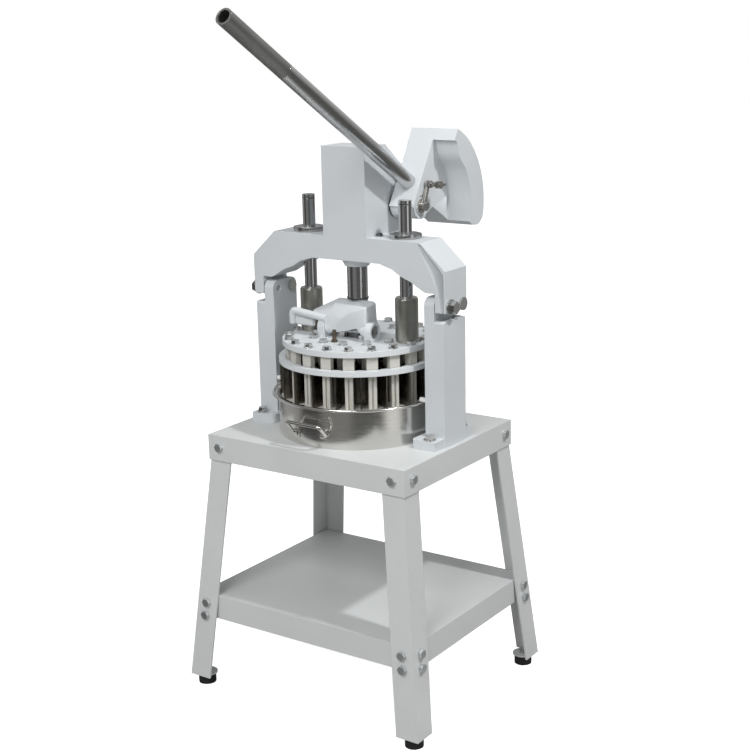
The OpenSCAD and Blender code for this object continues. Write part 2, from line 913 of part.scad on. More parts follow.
module lever_casting() {
    color("whitesmoke")
        difference() {
            translate([0, shaft_y, shaft_z]) {
                along_x(lever_x, web_x)
                    web_outline();
                along_x(lever_x, weight_end)
                    rim_outline();
            }
            translate([0, shaft_y, shaft_z])
                rod_x(lever_x - cut, web_x + cut, shaft_d / 2 + run_gap);
            on_tube()
                translate([0, 0, boss_r - tube_depth])
                    cylinder(r = tube_r + run_gap, h = tube_depth + cut);
            shaft_key_space(lever_x + 8, web_x - 8, run_gap);
            translate([0, shaft_y + arm_y, shaft_z + arm_z])
                rod_x(web_x - 14, web_x + cut, screw_r + run_gap);
            translate([0, shaft_y, shaft_z])
                difference() {
                    rod_x(web_x - 2, web_x + cut, 22);
                    rod_x(web_x - 3, web_x + 2 * cut, 20);
                }
        }
}

module lever_tube() {
    spigot = 40;
    joint = lever_length - grip_length;
    color("lightgray")
        on_tube()
            difference() {
                union() {
                    translate([0, 0, boss_r - tube_depth + 0.5])
                        cylinder(r = tube_r, h = joint - boss_r + tube_depth - 0.5);
                    translate([0, 0, joint - cut])
                        cylinder(r = grip_bore / 2 + 1, h = spigot + cut);
                }
                translate([0, 0, boss_r - tube_depth])
                    cylinder(r = grip_bore / 2 - 1, h = joint + spigot + tube_depth + cut);
            }
}

module lever_grip() {
    spigot = 40;
    joint = lever_length - grip_length;
    color([0.3, 0.3, 0.3])
        on_tube()
            difference() {
                translate([0, 0, joint])
                    cylinder(r = tube_r, h = grip_length);
                translate([0, 0, joint - cut])
                    cylinder(r = grip_bore / 2 + 1 + run_gap, h = spigot + hole_gap + cut);
                translate([0, 0, joint])
                    cylinder(r = grip_bore / 2, h = grip_length + cut);
            }
}

// The square space of a key on top of the shaft, between two distances
key_w = 8;
module shaft_key_space(x_low, x_high, gap) {
    translate([x_low - gap, shaft_y - key_w / 2 - gap, shaft_z + shaft_d / 2 - 4 - gap])
        cube([x_high - x_low + 2 * gap, key_w + 2 * gap, 7 + 2 * gap]);
}

module pinion_shaft() {
    color("silver")
        difference() {
            translate([0, shaft_y, shaft_z])
                rod_x(-housing_half - 9, web_x, shaft_d / 2);
            shaft_key_space(2 - pinion_w / 2, pinion_w / 2 - 2, run_gap);
            shaft_key_space(lever_x + 8, web_x - 8, run_gap);
            translate([0, shaft_y, shaft_z])
                rod_x(web_x - end_bolt_depth - 1, web_x + cut, end_bolt_r + hole_gap);
        }
}

module shaft_keys() {
    color("silver") {
        shaft_key_space(2 - pinion_w / 2, pinion_w / 2 - 2, 0);
        shaft_key_space(lever_x + 8, web_x - 8, 0);
    }
}

// Half the angle of a pinion tooth at a radius, from the involute of the base circle
base_r = pitch_r * cos(pressure);
function roll(r) = sqrt(max(0, pow(r / base_r, 2) - 1));
function involute(r) = roll(r) * 180 / PI - atan(roll(r));
function tooth_half(r) =
    90 / teeth - tooth_play / pitch_r * 45 / PI + involute(pitch_r) - involute(r);
flank_steps = 5;
root_r = pitch_r - dedendum;
tip_r = pitch_r + addendum;
flank_radii = concat([root_r],
    [for (i = [0:flank_steps]) base_r + (tip_r - base_r) * i / flank_steps]);
flank_back = [for (i = [len(flank_radii) - 1:-1:0]) flank_radii[i]];
function tooth_point(i, r, side) =
    let (turn = (i + 0.5) * 360 / teeth + side * tooth_half(r))
    r * [cos(turn), sin(turn)];

module pinion_outline() {
    polygon([
        for (i = [0:teeth - 1])
            each concat(
                [for (r = flank_radii) tooth_point(i, r, -1)],
                [for (r = flank_back) tooth_point(i, r, 1)]
            )
    ]);
}

module pinion() {
    color("slategray")
        difference() {
            translate([0, shaft_y, shaft_z])
                along_x(-pinion_w / 2, pinion_w / 2)
                    difference() {
                        pinion_outline();
                        circle(shaft_d / 2 + run_gap);
                    }
            shaft_key_space(2 - pinion_w / 2, pinion_w / 2 - 2, run_gap);
        }
}

// The arm on the shaft's end, and the hand screw through it
arm_y = 18.7;
arm_z = 44.8;
arm_t = 6;
arm_w = 9;
arm_eye_r = 8.5;
arm_washer_t = 3;
screw_r = 5;
end_bolt_r = 5;
end_bolt_head = 17;
end_bolt_depth = 30;
arm_low = web_x + arm_washer_t;
module crank_arm() {
    color("silver")
        translate([0, shaft_y, shaft_z]) {
            along_x(arm_low, arm_low + arm_t)
                difference() {
                    union() {
                        circle(arm_eye_r);
                        translate([arm_y, arm_z])
                            circle(arm_eye_r);
                        rotate(atan2(arm_z, arm_y) - 90)
                            translate([-arm_w / 2, 0])
                                square([arm_w, norm([arm_y, arm_z])]);
                    }
                    circle(end_bolt_r + hole_gap);
                    translate([arm_y, arm_z])
                        circle(screw_r + run_gap);
                }
            difference() {
                rod_x(web_x, arm_low, shaft_d / 2);
                rod_x(web_x - cut, arm_low + cut, end_bolt_r + hole_gap);
            }
        }
}

module shaft_end_bolt() {
    color("silver")
        translate([0, shaft_y, shaft_z]) {
            rod_x(web_x - end_bolt_depth, arm_low + arm_t + cut, end_bolt_r);
            translate([arm_low + arm_t, 0, 0])
                rotate([0, 90, 0])
                    hexagon(end_bolt_head, head_share * end_bolt_head);
        }
}

// The ring that holds the shaft at its left end
module shaft_cap() {
    color("slategray")
        translate([0, shaft_y, shaft_z])
            difference() {
                rod_x(-housing_half - 9, -housing_half - bush_flange_t - 0.5, shaft_d / 2 + 4);
                rod_x(-housing_half - 10, -housing_half, shaft_d / 2 + run_gap);
            }
}

// The hand screw: a stud with a nut-like collar, a hub and two wings
module wing_screw() {
    wing_x = arm_low + arm_t + 19;
    color([0.25, 0.25, 0.27])
        translate([0, shaft_y + arm_y, shaft_z + arm_z]) {
            rod_x(web_x - 12, wing_x + 10, screw_r);
            translate([arm_low + arm_t + face_gap, 0, 0])
                rotate([0, 90, 0])
                    hexagon(14, 7);
            rod_x(wing_x, wing_x + 12, 8);
            along_x(wing_x + 2, wing_x + 16)
                translate([-14, -2.5])
                    square([28, 5]);
        }
}

// Ram, rack and guides

module ram() {
    color("silver")
        difference() {
            translate([0, 0, plate_top])
                cylinder(r = ram_r, h = ram_top - plate_top);
            translate([-rack_w / 2 - run_gap, slot_y, rack_low - 2])
                cube([rack_w + 2 * run_gap, ram_r, rack_high - rack_low + 4]);
        }
}

module rack() {
    root_y = pitch_y - dedendum;
    rise = tan(pressure);
    half = tooth_pitch / 4 - tooth_play / 4;
    lowest = ceil((rack_low - shaft_z) / tooth_pitch + 0.5);
    highest = floor((rack_high - shaft_z) / tooth_pitch - 0.5);
    color("slategray")
        along_x(-rack_w / 2, rack_w / 2) {
            translate([slot_y, rack_low])
                square([root_y - slot_y, rack_high - rack_low]);
            for (i = [lowest:highest])
                translate([pitch_y, shaft_z + i * tooth_pitch])
                    polygon([
                        [-dedendum - cut, -half - dedendum * rise], [addendum, -half + addendum * rise],
                        [addendum, half - addendum * rise], [-dedendum - cut, half + dedendum * rise]
                    ]);
        }
}

foot_ring_h = 12;
module ram_foot() {
    color([0.22, 0.22, 0.24])
        translate([0, 0, plate_top])
            difference() {
                cylinder(r = ram_r + 5, h = foot_ring_h);
                translate([0, 0, -cut])
                    cylinder(r = ram_r + run_gap, h = foot_ring_h + 2 * cut);
            }
}

// The dark ring on the ram just above the latch
module ram_ring() {
    ring_h = 4;
    color([0.05, 0.05, 0.05])
        translate([0, 0, latch_top + 1])
            difference() {
                cylinder(r = ram_r + 1.2, h = ring_h);
                translate([0, 0, -cut])
                    cylinder(r = ram_r + run_gap, h = ring_h + 2 * cut);
            }
}

module guide_cylinders() {
    taper = 6;
    color([0.55, 0.54, 0.5])
        both_sides()
            translate([guide_x, 0, plate_top])
                difference() {
                    union() {
                        cylinder(r = cylinder_d / 2 - 1.5, h = cylinder_top - plate_top);
                        translate([0, 0, taper])
                            cylinder(r = cylinder_d / 2, h = cylinder_top - plate_top - taper - 3);
                    }
                    translate([0, 0, taper])
                        cylinder(r = rod_r + run_gap, h = cylinder_top);
                }
}

module guide_rods() {
    groove_z = rod_top - 9;
    color("lightgray")
        both_sides()
            translate([guide_x, 0, 0])
                difference() {
                    translate([0, 0, plate_top + 6])
                        cylinder(r = rod_r, h = rod_top - plate_top - 6);
                    translate([0, 0, groove_z])
                        difference() {
                            cylinder(r = rod_r + cut, h = 2.2);
                            translate([0, 0, -cut])
                                cylinder(r = rod_r - 1.5, h = 3 + 2 * cut);
                        }
                }
}

module rod_rings() {
    color("dimgray")
        both_sides()
            translate([guide_x, 0, rod_top - 8.9])
                difference() {
                    cylinder(r = rod_r, h = 2);
                    translate([0, 0, -cut])
                        cylinder(r = rod_r - 1.4, h = 2 + 2 * cut);
                }
}

// Press plate, posts and press segments

// Repeats its children round the ram axis; the first boundary between cells points to the front
module around(count, r) {
    for (i = [0:count - 1])
        rotate(-90 + (i + 0.5) * 360 / count)
            translate([r, 0, 0])
                children();
}

module bolt_places() {
    around(outer_count, outer_post_r)
        children();
    around(middle_count, middle_post_r)
        children();
    around(inner_count, inner_post_r)
        children();
}

module hanger_places() {
    for (i = [0:3])
        rotate(45 + 90 * i)
            translate([hanger_r, 0, 0])
                children();
}

ear_r = 20;
nut_recess_r = 14.2;
module latch_ear() {
    along_x(ear_out - latch_ear_t, ear_out) {
        translate([-pin_y, latch_pin_z])
            circle(ear_r);
        translate([-pin_y - ear_r, plate_top - cut])
            square([2 * ear_r, pin_rise + cut]);
    }
}

module press_plate() {
    color("whitesmoke")
        difference() {
            union() {
                translate([0, 0, plate_z])
                    cylinder(r = plate_r, h = plate_t, $fn = 180);
                both_sides()
                    latch_ear();
            }
            bolt_places()
                translate([0, 0, plate_z - cut])
                    cylinder(r = post_bolt_r + hole_gap, h = plate_t + 2 * cut);
            hanger_places()
                translate([0, 0, plate_z - cut])
                    cylinder(r = hanger_shank + hole_gap, h = hanger_depth + 2 * cut);
            translate([0, -pin_y, latch_pin_z])
                rod_x(-ear_out - cut, ear_out + cut, pin_d / 2 + hole_gap);
            both_sides()
                translate([0, -pin_y, latch_pin_z])
                    rod_x(ear_out - 8, ear_out + cut, nut_recess_r);
        }
}

// A post with a slotted stem below it, its outer face towards +X
module post() {
    stem_low = segment_z + segment_t;
    slot_depth = 0.4 * stem_depth;
    difference() {
        union() {
            translate([-post_depth / 2, -post_w / 2, ring_z])
                cube([post_depth, post_w, plate_z - ring_z]);
            translate([post_depth / 2 - stem_depth, -stem_w / 2, stem_low])
                cube([stem_depth, stem_w, ring_z - stem_low + cut]);
        }
        translate([post_depth / 2 - slot_depth, -stem_slot / 2, stem_low - cut])
            cube([slot_depth + cut, stem_slot, ring_z - stem_low - 6]);
        translate([0, 0, plate_z - post_bolt_depth - 2])
            cylinder(r = post_bolt_r + hole_gap, h = post_bolt_depth + 2 + cut);
    }
}

module outer_posts() {
    color("antiquewhite")
        around(outer_count, outer_post_r)
            post();
}

module middle_posts() {
    color("antiquewhite")
        around(middle_count, middle_post_r)
            post();
}

module inner_posts() {
    color("antiquewhite")
        around(inner_count, inner_post_r)
            post();
}

// The press faces of one ring of cells, with a gap to the blades
module segments(count, r_low, r_high) {
    gap = blade_t / 2 + 0.6;
    half = 180 / count;
    translate([0, 0, segment_z])
        linear_extrude(segment_t)
            intersection() {
                difference() {
                    circle(r_high - gap, $fn = 180);
                    if (r_low > 0)
                        circle(r_low + gap, $fn = 180);
                }
                for (i = [0:count - 1])
                    rotate(-90 + (i + 0.5) * 360 / count)
                        translate([gap / sin(half), 0])
                            polygon([[0, 0], 2 * r_high * [cos(half), -sin(half)],
                                2 * r_high * [cos(half), sin(half)]]);
            }
}

module outer_segments() {
    color("antiquewhite")
        segments(outer_count, cell_r_middle, blade_r);
}

module middle_segments() {
    color("antiquewhite")
        segments(middle_count, cell_r_inner, cell_r_middle);
}

module inner_segments() {
    color("antiquewhite")
        segments(inner_count, 0, cell_r_inner);
}

module plate_bolts() {
    color("silver")
        bolt_places() {
            translate([0, 0, plate_top])
                cylinder(r = post_bolt_head / 2 + 2, h = washer_t);
            translate([0, 0, plate_top + washer_t])
                hexagon(post_bolt_head, post_head_h);
            translate([0, 0, plate_z - post_bolt_depth])
                cylinder(r = post_bolt_r, h = plate_t + post_bolt_depth + washer_t);
        }
}

// The shoulder bolts that the knife frame hangs on
module hanger_bolts() {
    head_h = 7;
    color("silver")
        hanger_places() {
            translate([0, 0, ring_z - face_gap - head_h])
                cylinder(r = hanger_head_r, h = head_h);
            translate([0, 0, ring_z - head_h])
                cylinder(r = hanger_shank, h = plate_z + hanger_depth - ring_z + head_h);
        }
}

// Knife frame

module knife_ring() {
    color("whitesmoke")
        translate([0, 0, ring_z])
            linear_extrude(ring_t)
                difference() {
                    circle(ring_r, $fn = 180);
                    circle(ring_inner_r, $fn = 180);
                    around(outer_count, ring_inner_r)
                        square([2 * notch_depth, notch_w], center = true);
                }
}

// The disc on the blades' middle that the hanger bolts carry
module knife_hub() {
    color("whitesmoke")
        translate([0, 0, ring_z])
            linear_extrude(ring_t)
                difference() {
                    circle(hub_r);
                    hanger_places()
                        circle(hanger_shank + 0.4);
                }
}

module blade_spokes(count, r_low, r_high) {
    for (i = [0:count - 1])
        rotate(-90 + i * 360 / count)
            translate([r_low, -blade_t / 2])
                square([r_high - r_low, blade_t]);
}

module blade_circle(r) {
    difference() {
        circle(r + blade_t / 2, $fn = 180);
        circle(r - blade_t / 2, $fn = 180);
    }
}

module knife_blades() {
    color("dimgray")
        translate([0, 0, knife_z])
            linear_extrude(ring_z - knife_z) {
                blade_spokes(outer_count, cell_r_middle, blade_r);
                blade_spokes(middle_count, cell_r_inner, cell_r_middle);
                blade_spokes(inner_count, 0, cell_r_inner);
                blade_circle(cell_r_inner);
                blade_circle(cell_r_middle);
            }
}

// Latch

latch_half = ear_out - latch_ear_t - 0.5;
latch_front = pin_y + 10.5;
latch_back = 5;
latch_top = plate_top + latch_rise;
lug_t = 12;
lug_r = 14.5;
hand_z = latch_pin_z + 28.5;
// The wing at the left carries the hand bar and passes over the plate's ear
wing_reach = 1.6 * latch_half;
wing_low = latch_pin_z + ear_r + 1;
crease_x = 33;
crease_drop = 3;
toe_z = latch_pin_z - 8;
module latch_front_outline() {
    polygon([
        [-wing_reach, wing_low], [-latch_half, wing_low], [-latch_half + 9, latch_pin_z + 5],
        [-latch_half + 19, toe_z], [0, toe_z + 4], [28, latch_pin_z + 5], [latch_half - lug_t, toe_z],
        [latch_half, toe_z], [latch_half, latch_top], [-crease_x, latch_top - crease_drop],
        [-wing_reach, hand_z + hand_d / 2 - 1]
    ]);
}

// The top falls gently to a short bevel at the front
module latch_side_outline() {
    polygon([
        [-latch_front, toe_z], [-latch_front, latch_top - 8.5], [-latch_front + 3, latch_top - 6.5],
        [-15, latch_top], [-latch_back, latch_top], [-latch_back, toe_z]
    ]);
}

// The hollow for the thumb in the front of the top, lowest at the scoop's place
scoop_x = -15;
scoop_z = latch_top - 39;
module latch_scoop() {
    translate([scoop_x, -latch_front, scoop_z])
        rotate([-15, 0, 0])
            linear_extrude(latch_rise)
                polygon([
                    [0, 0], [-crease_x, -5], [-crease_x, -latch_half], [latch_half - scoop_x, -latch_half],
                    [latch_half - scoop_x, -9]
                ]);
}

tab_w = 0.32 * hand_reach;
tab_h = 0.22 * hand_reach;
tab_t = 6;
tab_back = 5;
module latch() {
    wall = 9;
    color("whitesmoke")
        difference() {
            union() {
                difference() {
                    intersection() {
                        along_y(-latch_front, -latch_back)
                            latch_front_outline();
                        along_x(-wing_reach, latch_half)
                            latch_side_outline();
                    }
                    latch_scoop();
                    translate([wall - latch_half, wall - latch_front, 0])
                        cube([2 * (latch_half - wall), latch_front, hand_z + 4]);
                    cylinder(r = ram_r + 1.5, h = latch_top + cut);
                    translate([-ram_r - 1.5, 0, 0])
                        cube([2 * ram_r + 3, latch_front, latch_top + cut]);
                }
                for (side = [-1, 1])
                    translate([side * (latch_half - lug_t / 2), -pin_y, latch_pin_z])
                        rod_x(-lug_t / 2, lug_t / 2, lug_r);
                translate([0, hand_d / 2 - latch_front, hand_z]) {
                    rod_x(hand_d / 2 - hand_reach, wall - latch_half, hand_d / 2);
                    translate([hand_d / 2 - hand_reach, 0, 0])
                        sphere(d = hand_d);
                }
                translate([cut - hand_reach, (hand_d - tab_t) / 2 + tab_back - latch_front, hand_z - tab_h])
                    cube([tab_w, tab_t, tab_h]);
            }
            translate([0, -pin_y, latch_pin_z])
                rod_x(-latch_half - cut, latch_half + cut, pin_d / 2 + run_gap);
        }
}

module latch_pin() {
    nut_h = 7;
    color([0.3, 0.3, 0.32])
        translate([0, -pin_y, latch_pin_z]) {
            rod_x(-ear_out + 7.5, ear_out - 7.5, pin_d / 2);
            both_sides()
                translate([ear_out - 8 + hole_gap / 2, 0, 0])
                    rotate([0, 90, 0])
                        hexagon(22, nut_h);
        }
}

// The threaded stud that the open latch leans on
stop_x = 8;
stop_r = 4.5;
module latch_stop() {
    color([0.35, 0.25, 0.16])
        translate([-stop_x, -stop_y, plate_top]) {
            cylinder(r = stop_r, h = stop_h);
            hexagon(3 * stop_r, stop_r);
        }
}

// Pan

pan_z = face_gap;
bracket_z = 30;
bracket_angle = 12.7;
bracket_half_h = 14;
bracket_half_w = 9;
bracket_t = 2;
rivet_dz = 10;
rivet_r = 3;
handle_center = -91.6;
module pan() {
    bead_r = bead_d / 2;
    bead_x = rim_r - bead_r;
    color("lightsteelblue")
        rotate_extrude($fn = 180) {
            translate([0, pan_z])
                square([pan_r, pan_t]);
            translate([pan_r - pan_t, pan_z])
                square([pan_t, pan_h - bead_r - pan_z]);
            translate([pan_r - pan_t, pan_h - bead_r - pan_t])
                square([bead_x - pan_r + pan_t, pan_t]);
            translate([bead_x, pan_h - bead_r])
                difference() {
                    circle(bead_r, $fn = 32);
                    circle(bead_r - pan_t, $fn = 32);
                }
        }
}

// Both handles lie opposite each other; the first axis points out from the pan
module at_handles() {
    for (turn = [0, 180])
        rotate(handle_center + turn)
            children();
}

// One straight piece of wire between two points, with round ends
module wire(from, to) {
    run = to - from;
    translate(from)
        sphere(d = wire_d, $fn = 24);
    translate(from)
        rotate([0, acos(run[2] / norm(run)), atan2(run[1], run[0])])
            cylinder(d = wire_d, h = norm(run), $fn = 24);
    translate(to)
        sphere(d = wire_d, $fn = 24);
}

knuckle_r = wire_d / 2 + 2.5;
knuckle_w = 8;
knuckle_y = handle_half - 10;
handle_x = sqrt(pow(pan_r, 2) - pow(handle_half, 2)) + knuckle_r + 2.2;
module pan_handles() {
    inner = [handle_x, 0, bracket_z];
    outer = [handle_x + handle_reach - 4, 0, bracket_z + handle_rise];
    side = [0, handle_half, 0];
    stub = [0, 13, 0];
    color("silver")
        at_handles() {
            for (s = [-1, 1]) {
                wire(inner + s * side, inner + s * (side - stub));
                wire(inner + s * side, outer + s * side);
            }
            wire(outer - side, outer + side);
        }
}

module handle_brackets() {
    color("silver")
        at_handles()
            for (s = [-1, 1])
                difference() {
                    union() {
                        translate([0, 0, bracket_z - bracket_half_h])
                            linear_extrude(2 * bracket_half_h)
                                intersection() {
                                    difference() {
                                        circle(r = pan_r + bracket_t, $fn = 180);
                                        circle(r = pan_r, $fn = 180);
                                    }
                                    rotate(s * bracket_angle)
                                        translate([pan_r - knuckle_w, -bracket_half_w])
                                            square([2 * knuckle_w, 2 * bracket_half_w]);
                                }
                        translate([handle_x, s * knuckle_y - knuckle_w / 2, bracket_z])
                            rotate([-90, 0, 0])
                                cylinder(r = knuckle_r, h = knuckle_w);
                        translate([handle_x - knuckle_r - 5, s * knuckle_y - knuckle_w / 2, bracket_z - 3])
                            cube([knuckle_w, knuckle_w, 6]);
                    }
                    translate([0, 0, bracket_z - 2 * bracket_half_h])
                        cylinder(r = pan_r, h = 4 * bracket_half_h, $fn = 180);
                    translate([handle_x, s * knuckle_y - knuckle_w, bracket_z])
                        rotate([-90, 0, 0])
                            cylinder(r = wire_d / 2 + hole_gap / 2, h = 2 * knuckle_w);
                }
}

module handle_rivets() {
    color("silver")
        at_handles()
            for (s = [-1, 1], z = [bracket_z - rivet_dz, bracket_z + rivet_dz])
                rotate(s * bracket_angle)
                    translate([pan_r + bracket_t + 0.02, 0, z])
                        rod_x(0, 1.8, rivet_r);
}

table_top();
base_plate();
leg_front_left();
leg_front_right();
leg_back_left();
leg_back_right();
shelf();
feet();
foot_studs();
skirt_bolts();
shelf_bolts();
column_left();
column_right();
column_bolts();
pan_hold_buttons();
yoke();
oil_plug();
rear_cover();
cover_screws();
pivot_pins();
lock_bolts();
guide_bushes();
shaft_bushes();
lever_casting();
lever_tube();
lever_grip();
pinion_shaft();
pinion();
shaft_keys();
shaft_end_bolt();
crank_arm();
shaft_cap();
wing_screw();
ram();
rack();
ram_foot();
ram_ring();
press_plate();
outer_posts();
middle_posts();
inner_posts();
outer_segments();
middle_segments();
inner_segments();
plate_bolts();
guide_cylinders();
guide_rods();
rod_rings();
latch_pin();
latch_stop();
hanger_bolts();
knife_ring();
knife_hub();
knife_blades();
latch();
pan();
pan_handles();
handle_brackets();
handle_rivets();
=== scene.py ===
"""Looks of the manual dough divider: materials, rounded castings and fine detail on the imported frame.
Metres. X points right, Y to the back, Z up; the origin is on the table top, on the axis of the ram."""

import json
import math

import bmesh
import bpy
from mathutils import Matrix, Vector


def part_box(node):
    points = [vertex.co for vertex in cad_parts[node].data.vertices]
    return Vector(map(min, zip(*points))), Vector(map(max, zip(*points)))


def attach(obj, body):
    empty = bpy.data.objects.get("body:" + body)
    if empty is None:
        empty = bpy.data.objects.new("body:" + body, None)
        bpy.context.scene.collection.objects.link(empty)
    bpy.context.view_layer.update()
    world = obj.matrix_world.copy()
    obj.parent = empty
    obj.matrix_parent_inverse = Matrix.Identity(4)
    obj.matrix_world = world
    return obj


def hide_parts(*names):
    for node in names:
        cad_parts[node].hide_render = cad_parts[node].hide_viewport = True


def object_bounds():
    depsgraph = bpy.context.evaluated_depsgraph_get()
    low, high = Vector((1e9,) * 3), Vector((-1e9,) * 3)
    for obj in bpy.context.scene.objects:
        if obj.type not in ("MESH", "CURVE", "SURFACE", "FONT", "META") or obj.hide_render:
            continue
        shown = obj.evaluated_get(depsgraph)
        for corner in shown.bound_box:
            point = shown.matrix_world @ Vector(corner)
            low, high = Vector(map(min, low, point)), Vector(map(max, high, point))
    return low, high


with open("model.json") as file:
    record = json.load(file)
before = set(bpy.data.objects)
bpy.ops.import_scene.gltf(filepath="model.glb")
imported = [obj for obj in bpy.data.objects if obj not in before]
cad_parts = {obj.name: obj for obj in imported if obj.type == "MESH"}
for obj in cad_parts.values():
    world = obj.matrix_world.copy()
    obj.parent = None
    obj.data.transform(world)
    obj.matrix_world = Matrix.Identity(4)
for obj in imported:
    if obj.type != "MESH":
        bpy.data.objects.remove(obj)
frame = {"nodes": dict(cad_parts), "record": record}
cad_low, cad_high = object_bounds()
FLOOR = cad_low.z
NODES = frame["nodes"]
BODY_OF = {
    name: body
    for body, names in frame["record"]["behaviour"]["bodies"].items()
    for name in names
}
MM = 0.001


# Materials

def new_material(name):
    """An empty node material with its output and main shader."""
    material = bpy.data.materials.new(name)
    material.use_nodes = True
    tree = material.node_tree
    tree.nodes.clear()
    output = tree.nodes.new("ShaderNodeOutputMaterial")
    shader = tree.nodes.new("ShaderNodeBsdfPrincipled")
    tree.links.new(shader.outputs["BSDF"], output.inputs["Surface"])
    return material, tree, shader


def node(tree, kind, settings=None, **inputs):
    """Adds a node. Its inputs are named, or i and their number, and take a value or a link."""
    made = tree.nodes.new(kind)
    for key, value in (settings or {}).items():
        setattr(made, key, value)
    for key, value in inputs.items():
        numbered = key[0] == "i" and key[1:].isdigit()
        socket = made.inputs[int(key[1:]) if numbered else key]
        if isinstance(value, bpy.types.NodeSocket):
            tree.links.new(value, socket)
        else:
            socket.default_value = value
    return made


def place(tree, stretch=(1, 1, 1), tilt=0.0, origin=(0, 0, 0)):
    """The piece's own coordinates in metres, tilted about X and stretched by a factor on each axis."""
    coordinates = node(tree, "ShaderNodeTexCoord").outputs["Object"]
    if stretch == (1, 1, 1) and not tilt:
        return coordinates
    scale = tuple(1 / factor for factor in stretch)
    return node(tree, "ShaderNodeMapping", {"vector_type": "TEXTURE"}, Vector=coordinates,
                Location=origin, Rotation=(tilt, 0, 0), Scale=scale).outputs["Vector"]


def noise(tree, where, scale, detail=2.0, rough=0.5):
    """A cloudy pattern from 0 to 1."""
    return node(tree, "ShaderNodeTexNoise", Vector=where, Scale=scale, Detail=detail,
                Roughness=rough).outputs["Fac"]


def remap(tree, value, low, high, to_low, to_high):
    """A value moved from one range into another, and held inside it."""
    return node(tree, "ShaderNodeMapRange", i0=value, i1=low, i2=high, i3=to_low,
                i4=to_high).outputs[0]


def blend_colours(tree, factor, first, second):
    """The first colour where the factor is 0, the second where it is 1."""
    mix = node(tree, "ShaderNodeMix", {"data_type": "RGBA"}, i0=factor)
    for socket, value in ((mix.inputs[6], first), (mix.inputs[7], second)):
        if isinstance(value, bpy.types.NodeSocket):
            tree.links.new(value, socket)
        else:
            socket.default_value = (*value, 1)
    return mix.outputs[2]


def soft_edges(tree, radius):
    """The normal with rounded edges, and a mask that is 1 along those edges."""
    soft = node(tree, "ShaderNodeBevel", {"samples": 6}, Radius=radius).outputs["Normal"]
    flat = node(tree, "ShaderNodeNewGeometry").outputs["Normal"]
    facing = node(tree, "ShaderNodeVectorMath", {"operation": "DOT_PRODUCT"}, i0=soft, i1=flat)
    mask = remap(tree, facing.outputs["Value"], 0.995, 0.9, 0.0, 1.0)
    return soft, mask


def times(tree, first, second):
    """The product of two values."""
    return node(tree, "ShaderNodeMath", {"operation": "MULTIPLY"}, i0=first, i1=second).outputs[0]


def shade(colour, factor):
    """A colour made darker or lighter by a factor."""
    return tuple(min(1.0, part * factor) for part in colour)


# How fine the slow patterns of the materials are, in turns to the metre
TINT_SCALE = 5.0
SPECK_SCALE = 260.0
WEAR_SCALE = 70.0
SHEEN_SCALE = 30.0
STAIN_SCALE = 14.0
# How high their bumps stand at full strength
GRAIN_RISE = 0.4 * MM
SWELL_RISE = 2 * MM
STREAK_RISE = 0.2 * MM
KNURL_RISE = 0.3 * MM
# The width of the worn edges of paint, and how much shows there
PAINT_EDGE = 1.2 * MM
PAINT_WEAR = 0.35
# The stain on metal and how much of it shows
STAIN = (0.6, 0.58, 0.55)
STAIN_SHARE = 0.2


def painted(name, colour, grain=900, grain_depth=0.06, swell=45, swell_depth=0.0,
            rough=(0.34, 0.46), worn=(0.5, 0.5, 0.49)):
    """Paint or plastic: slow tint, fine grain, a little wear along the edges."""
    material, tree, shader = new_material(name)
    where = place(tree)
    slow = remap(tree, noise(tree, where, TINT_SCALE, 3.0), 0.35, 0.65, 0, 1)
    base = blend_colours(tree, slow, shade(colour, 0.965), shade(colour, 1.02))
    specks = noise(tree, where, SPECK_SCALE, 2.0, 0.6)
    base = blend_colours(tree, remap(tree, specks, 0.62, 0.75, 0, 0.25), base, shade(colour, 0.82))
    soft, mask = soft_edges(tree, PAINT_EDGE)
    patches = remap(tree, noise(tree, where, WEAR_SCALE, 4.0, 0.7), 0.5, 0.62, 0.0, PAINT_WEAR)
    base = blend_colours(tree, times(tree, mask, patches), base, worn)
    tree.links.new(base, shader.inputs["Base Color"])
    sheen = noise(tree, where, SHEEN_SCALE, 3.0)
    tree.links.new(remap(tree, sheen, 0.3, 0.7, *rough), shader.inputs["Roughness"])
    fine = noise(tree, where, grain, 2.0)
    bump = node(tree, "ShaderNodeBump", Strength=grain_depth, Distance=GRAIN_RISE, Height=fine,
                Normal=soft)
    if swell_depth:
        waves = noise(tree, where, swell, 1.0)
        bump = node(tree, "ShaderNodeBump", Strength=swell_depth, Distance=SWELL_RISE, Height=waves,
                    Normal=bump.outputs[0])
    tree.links.new(bump.outputs[0], shader.inputs["Normal"])
    return material


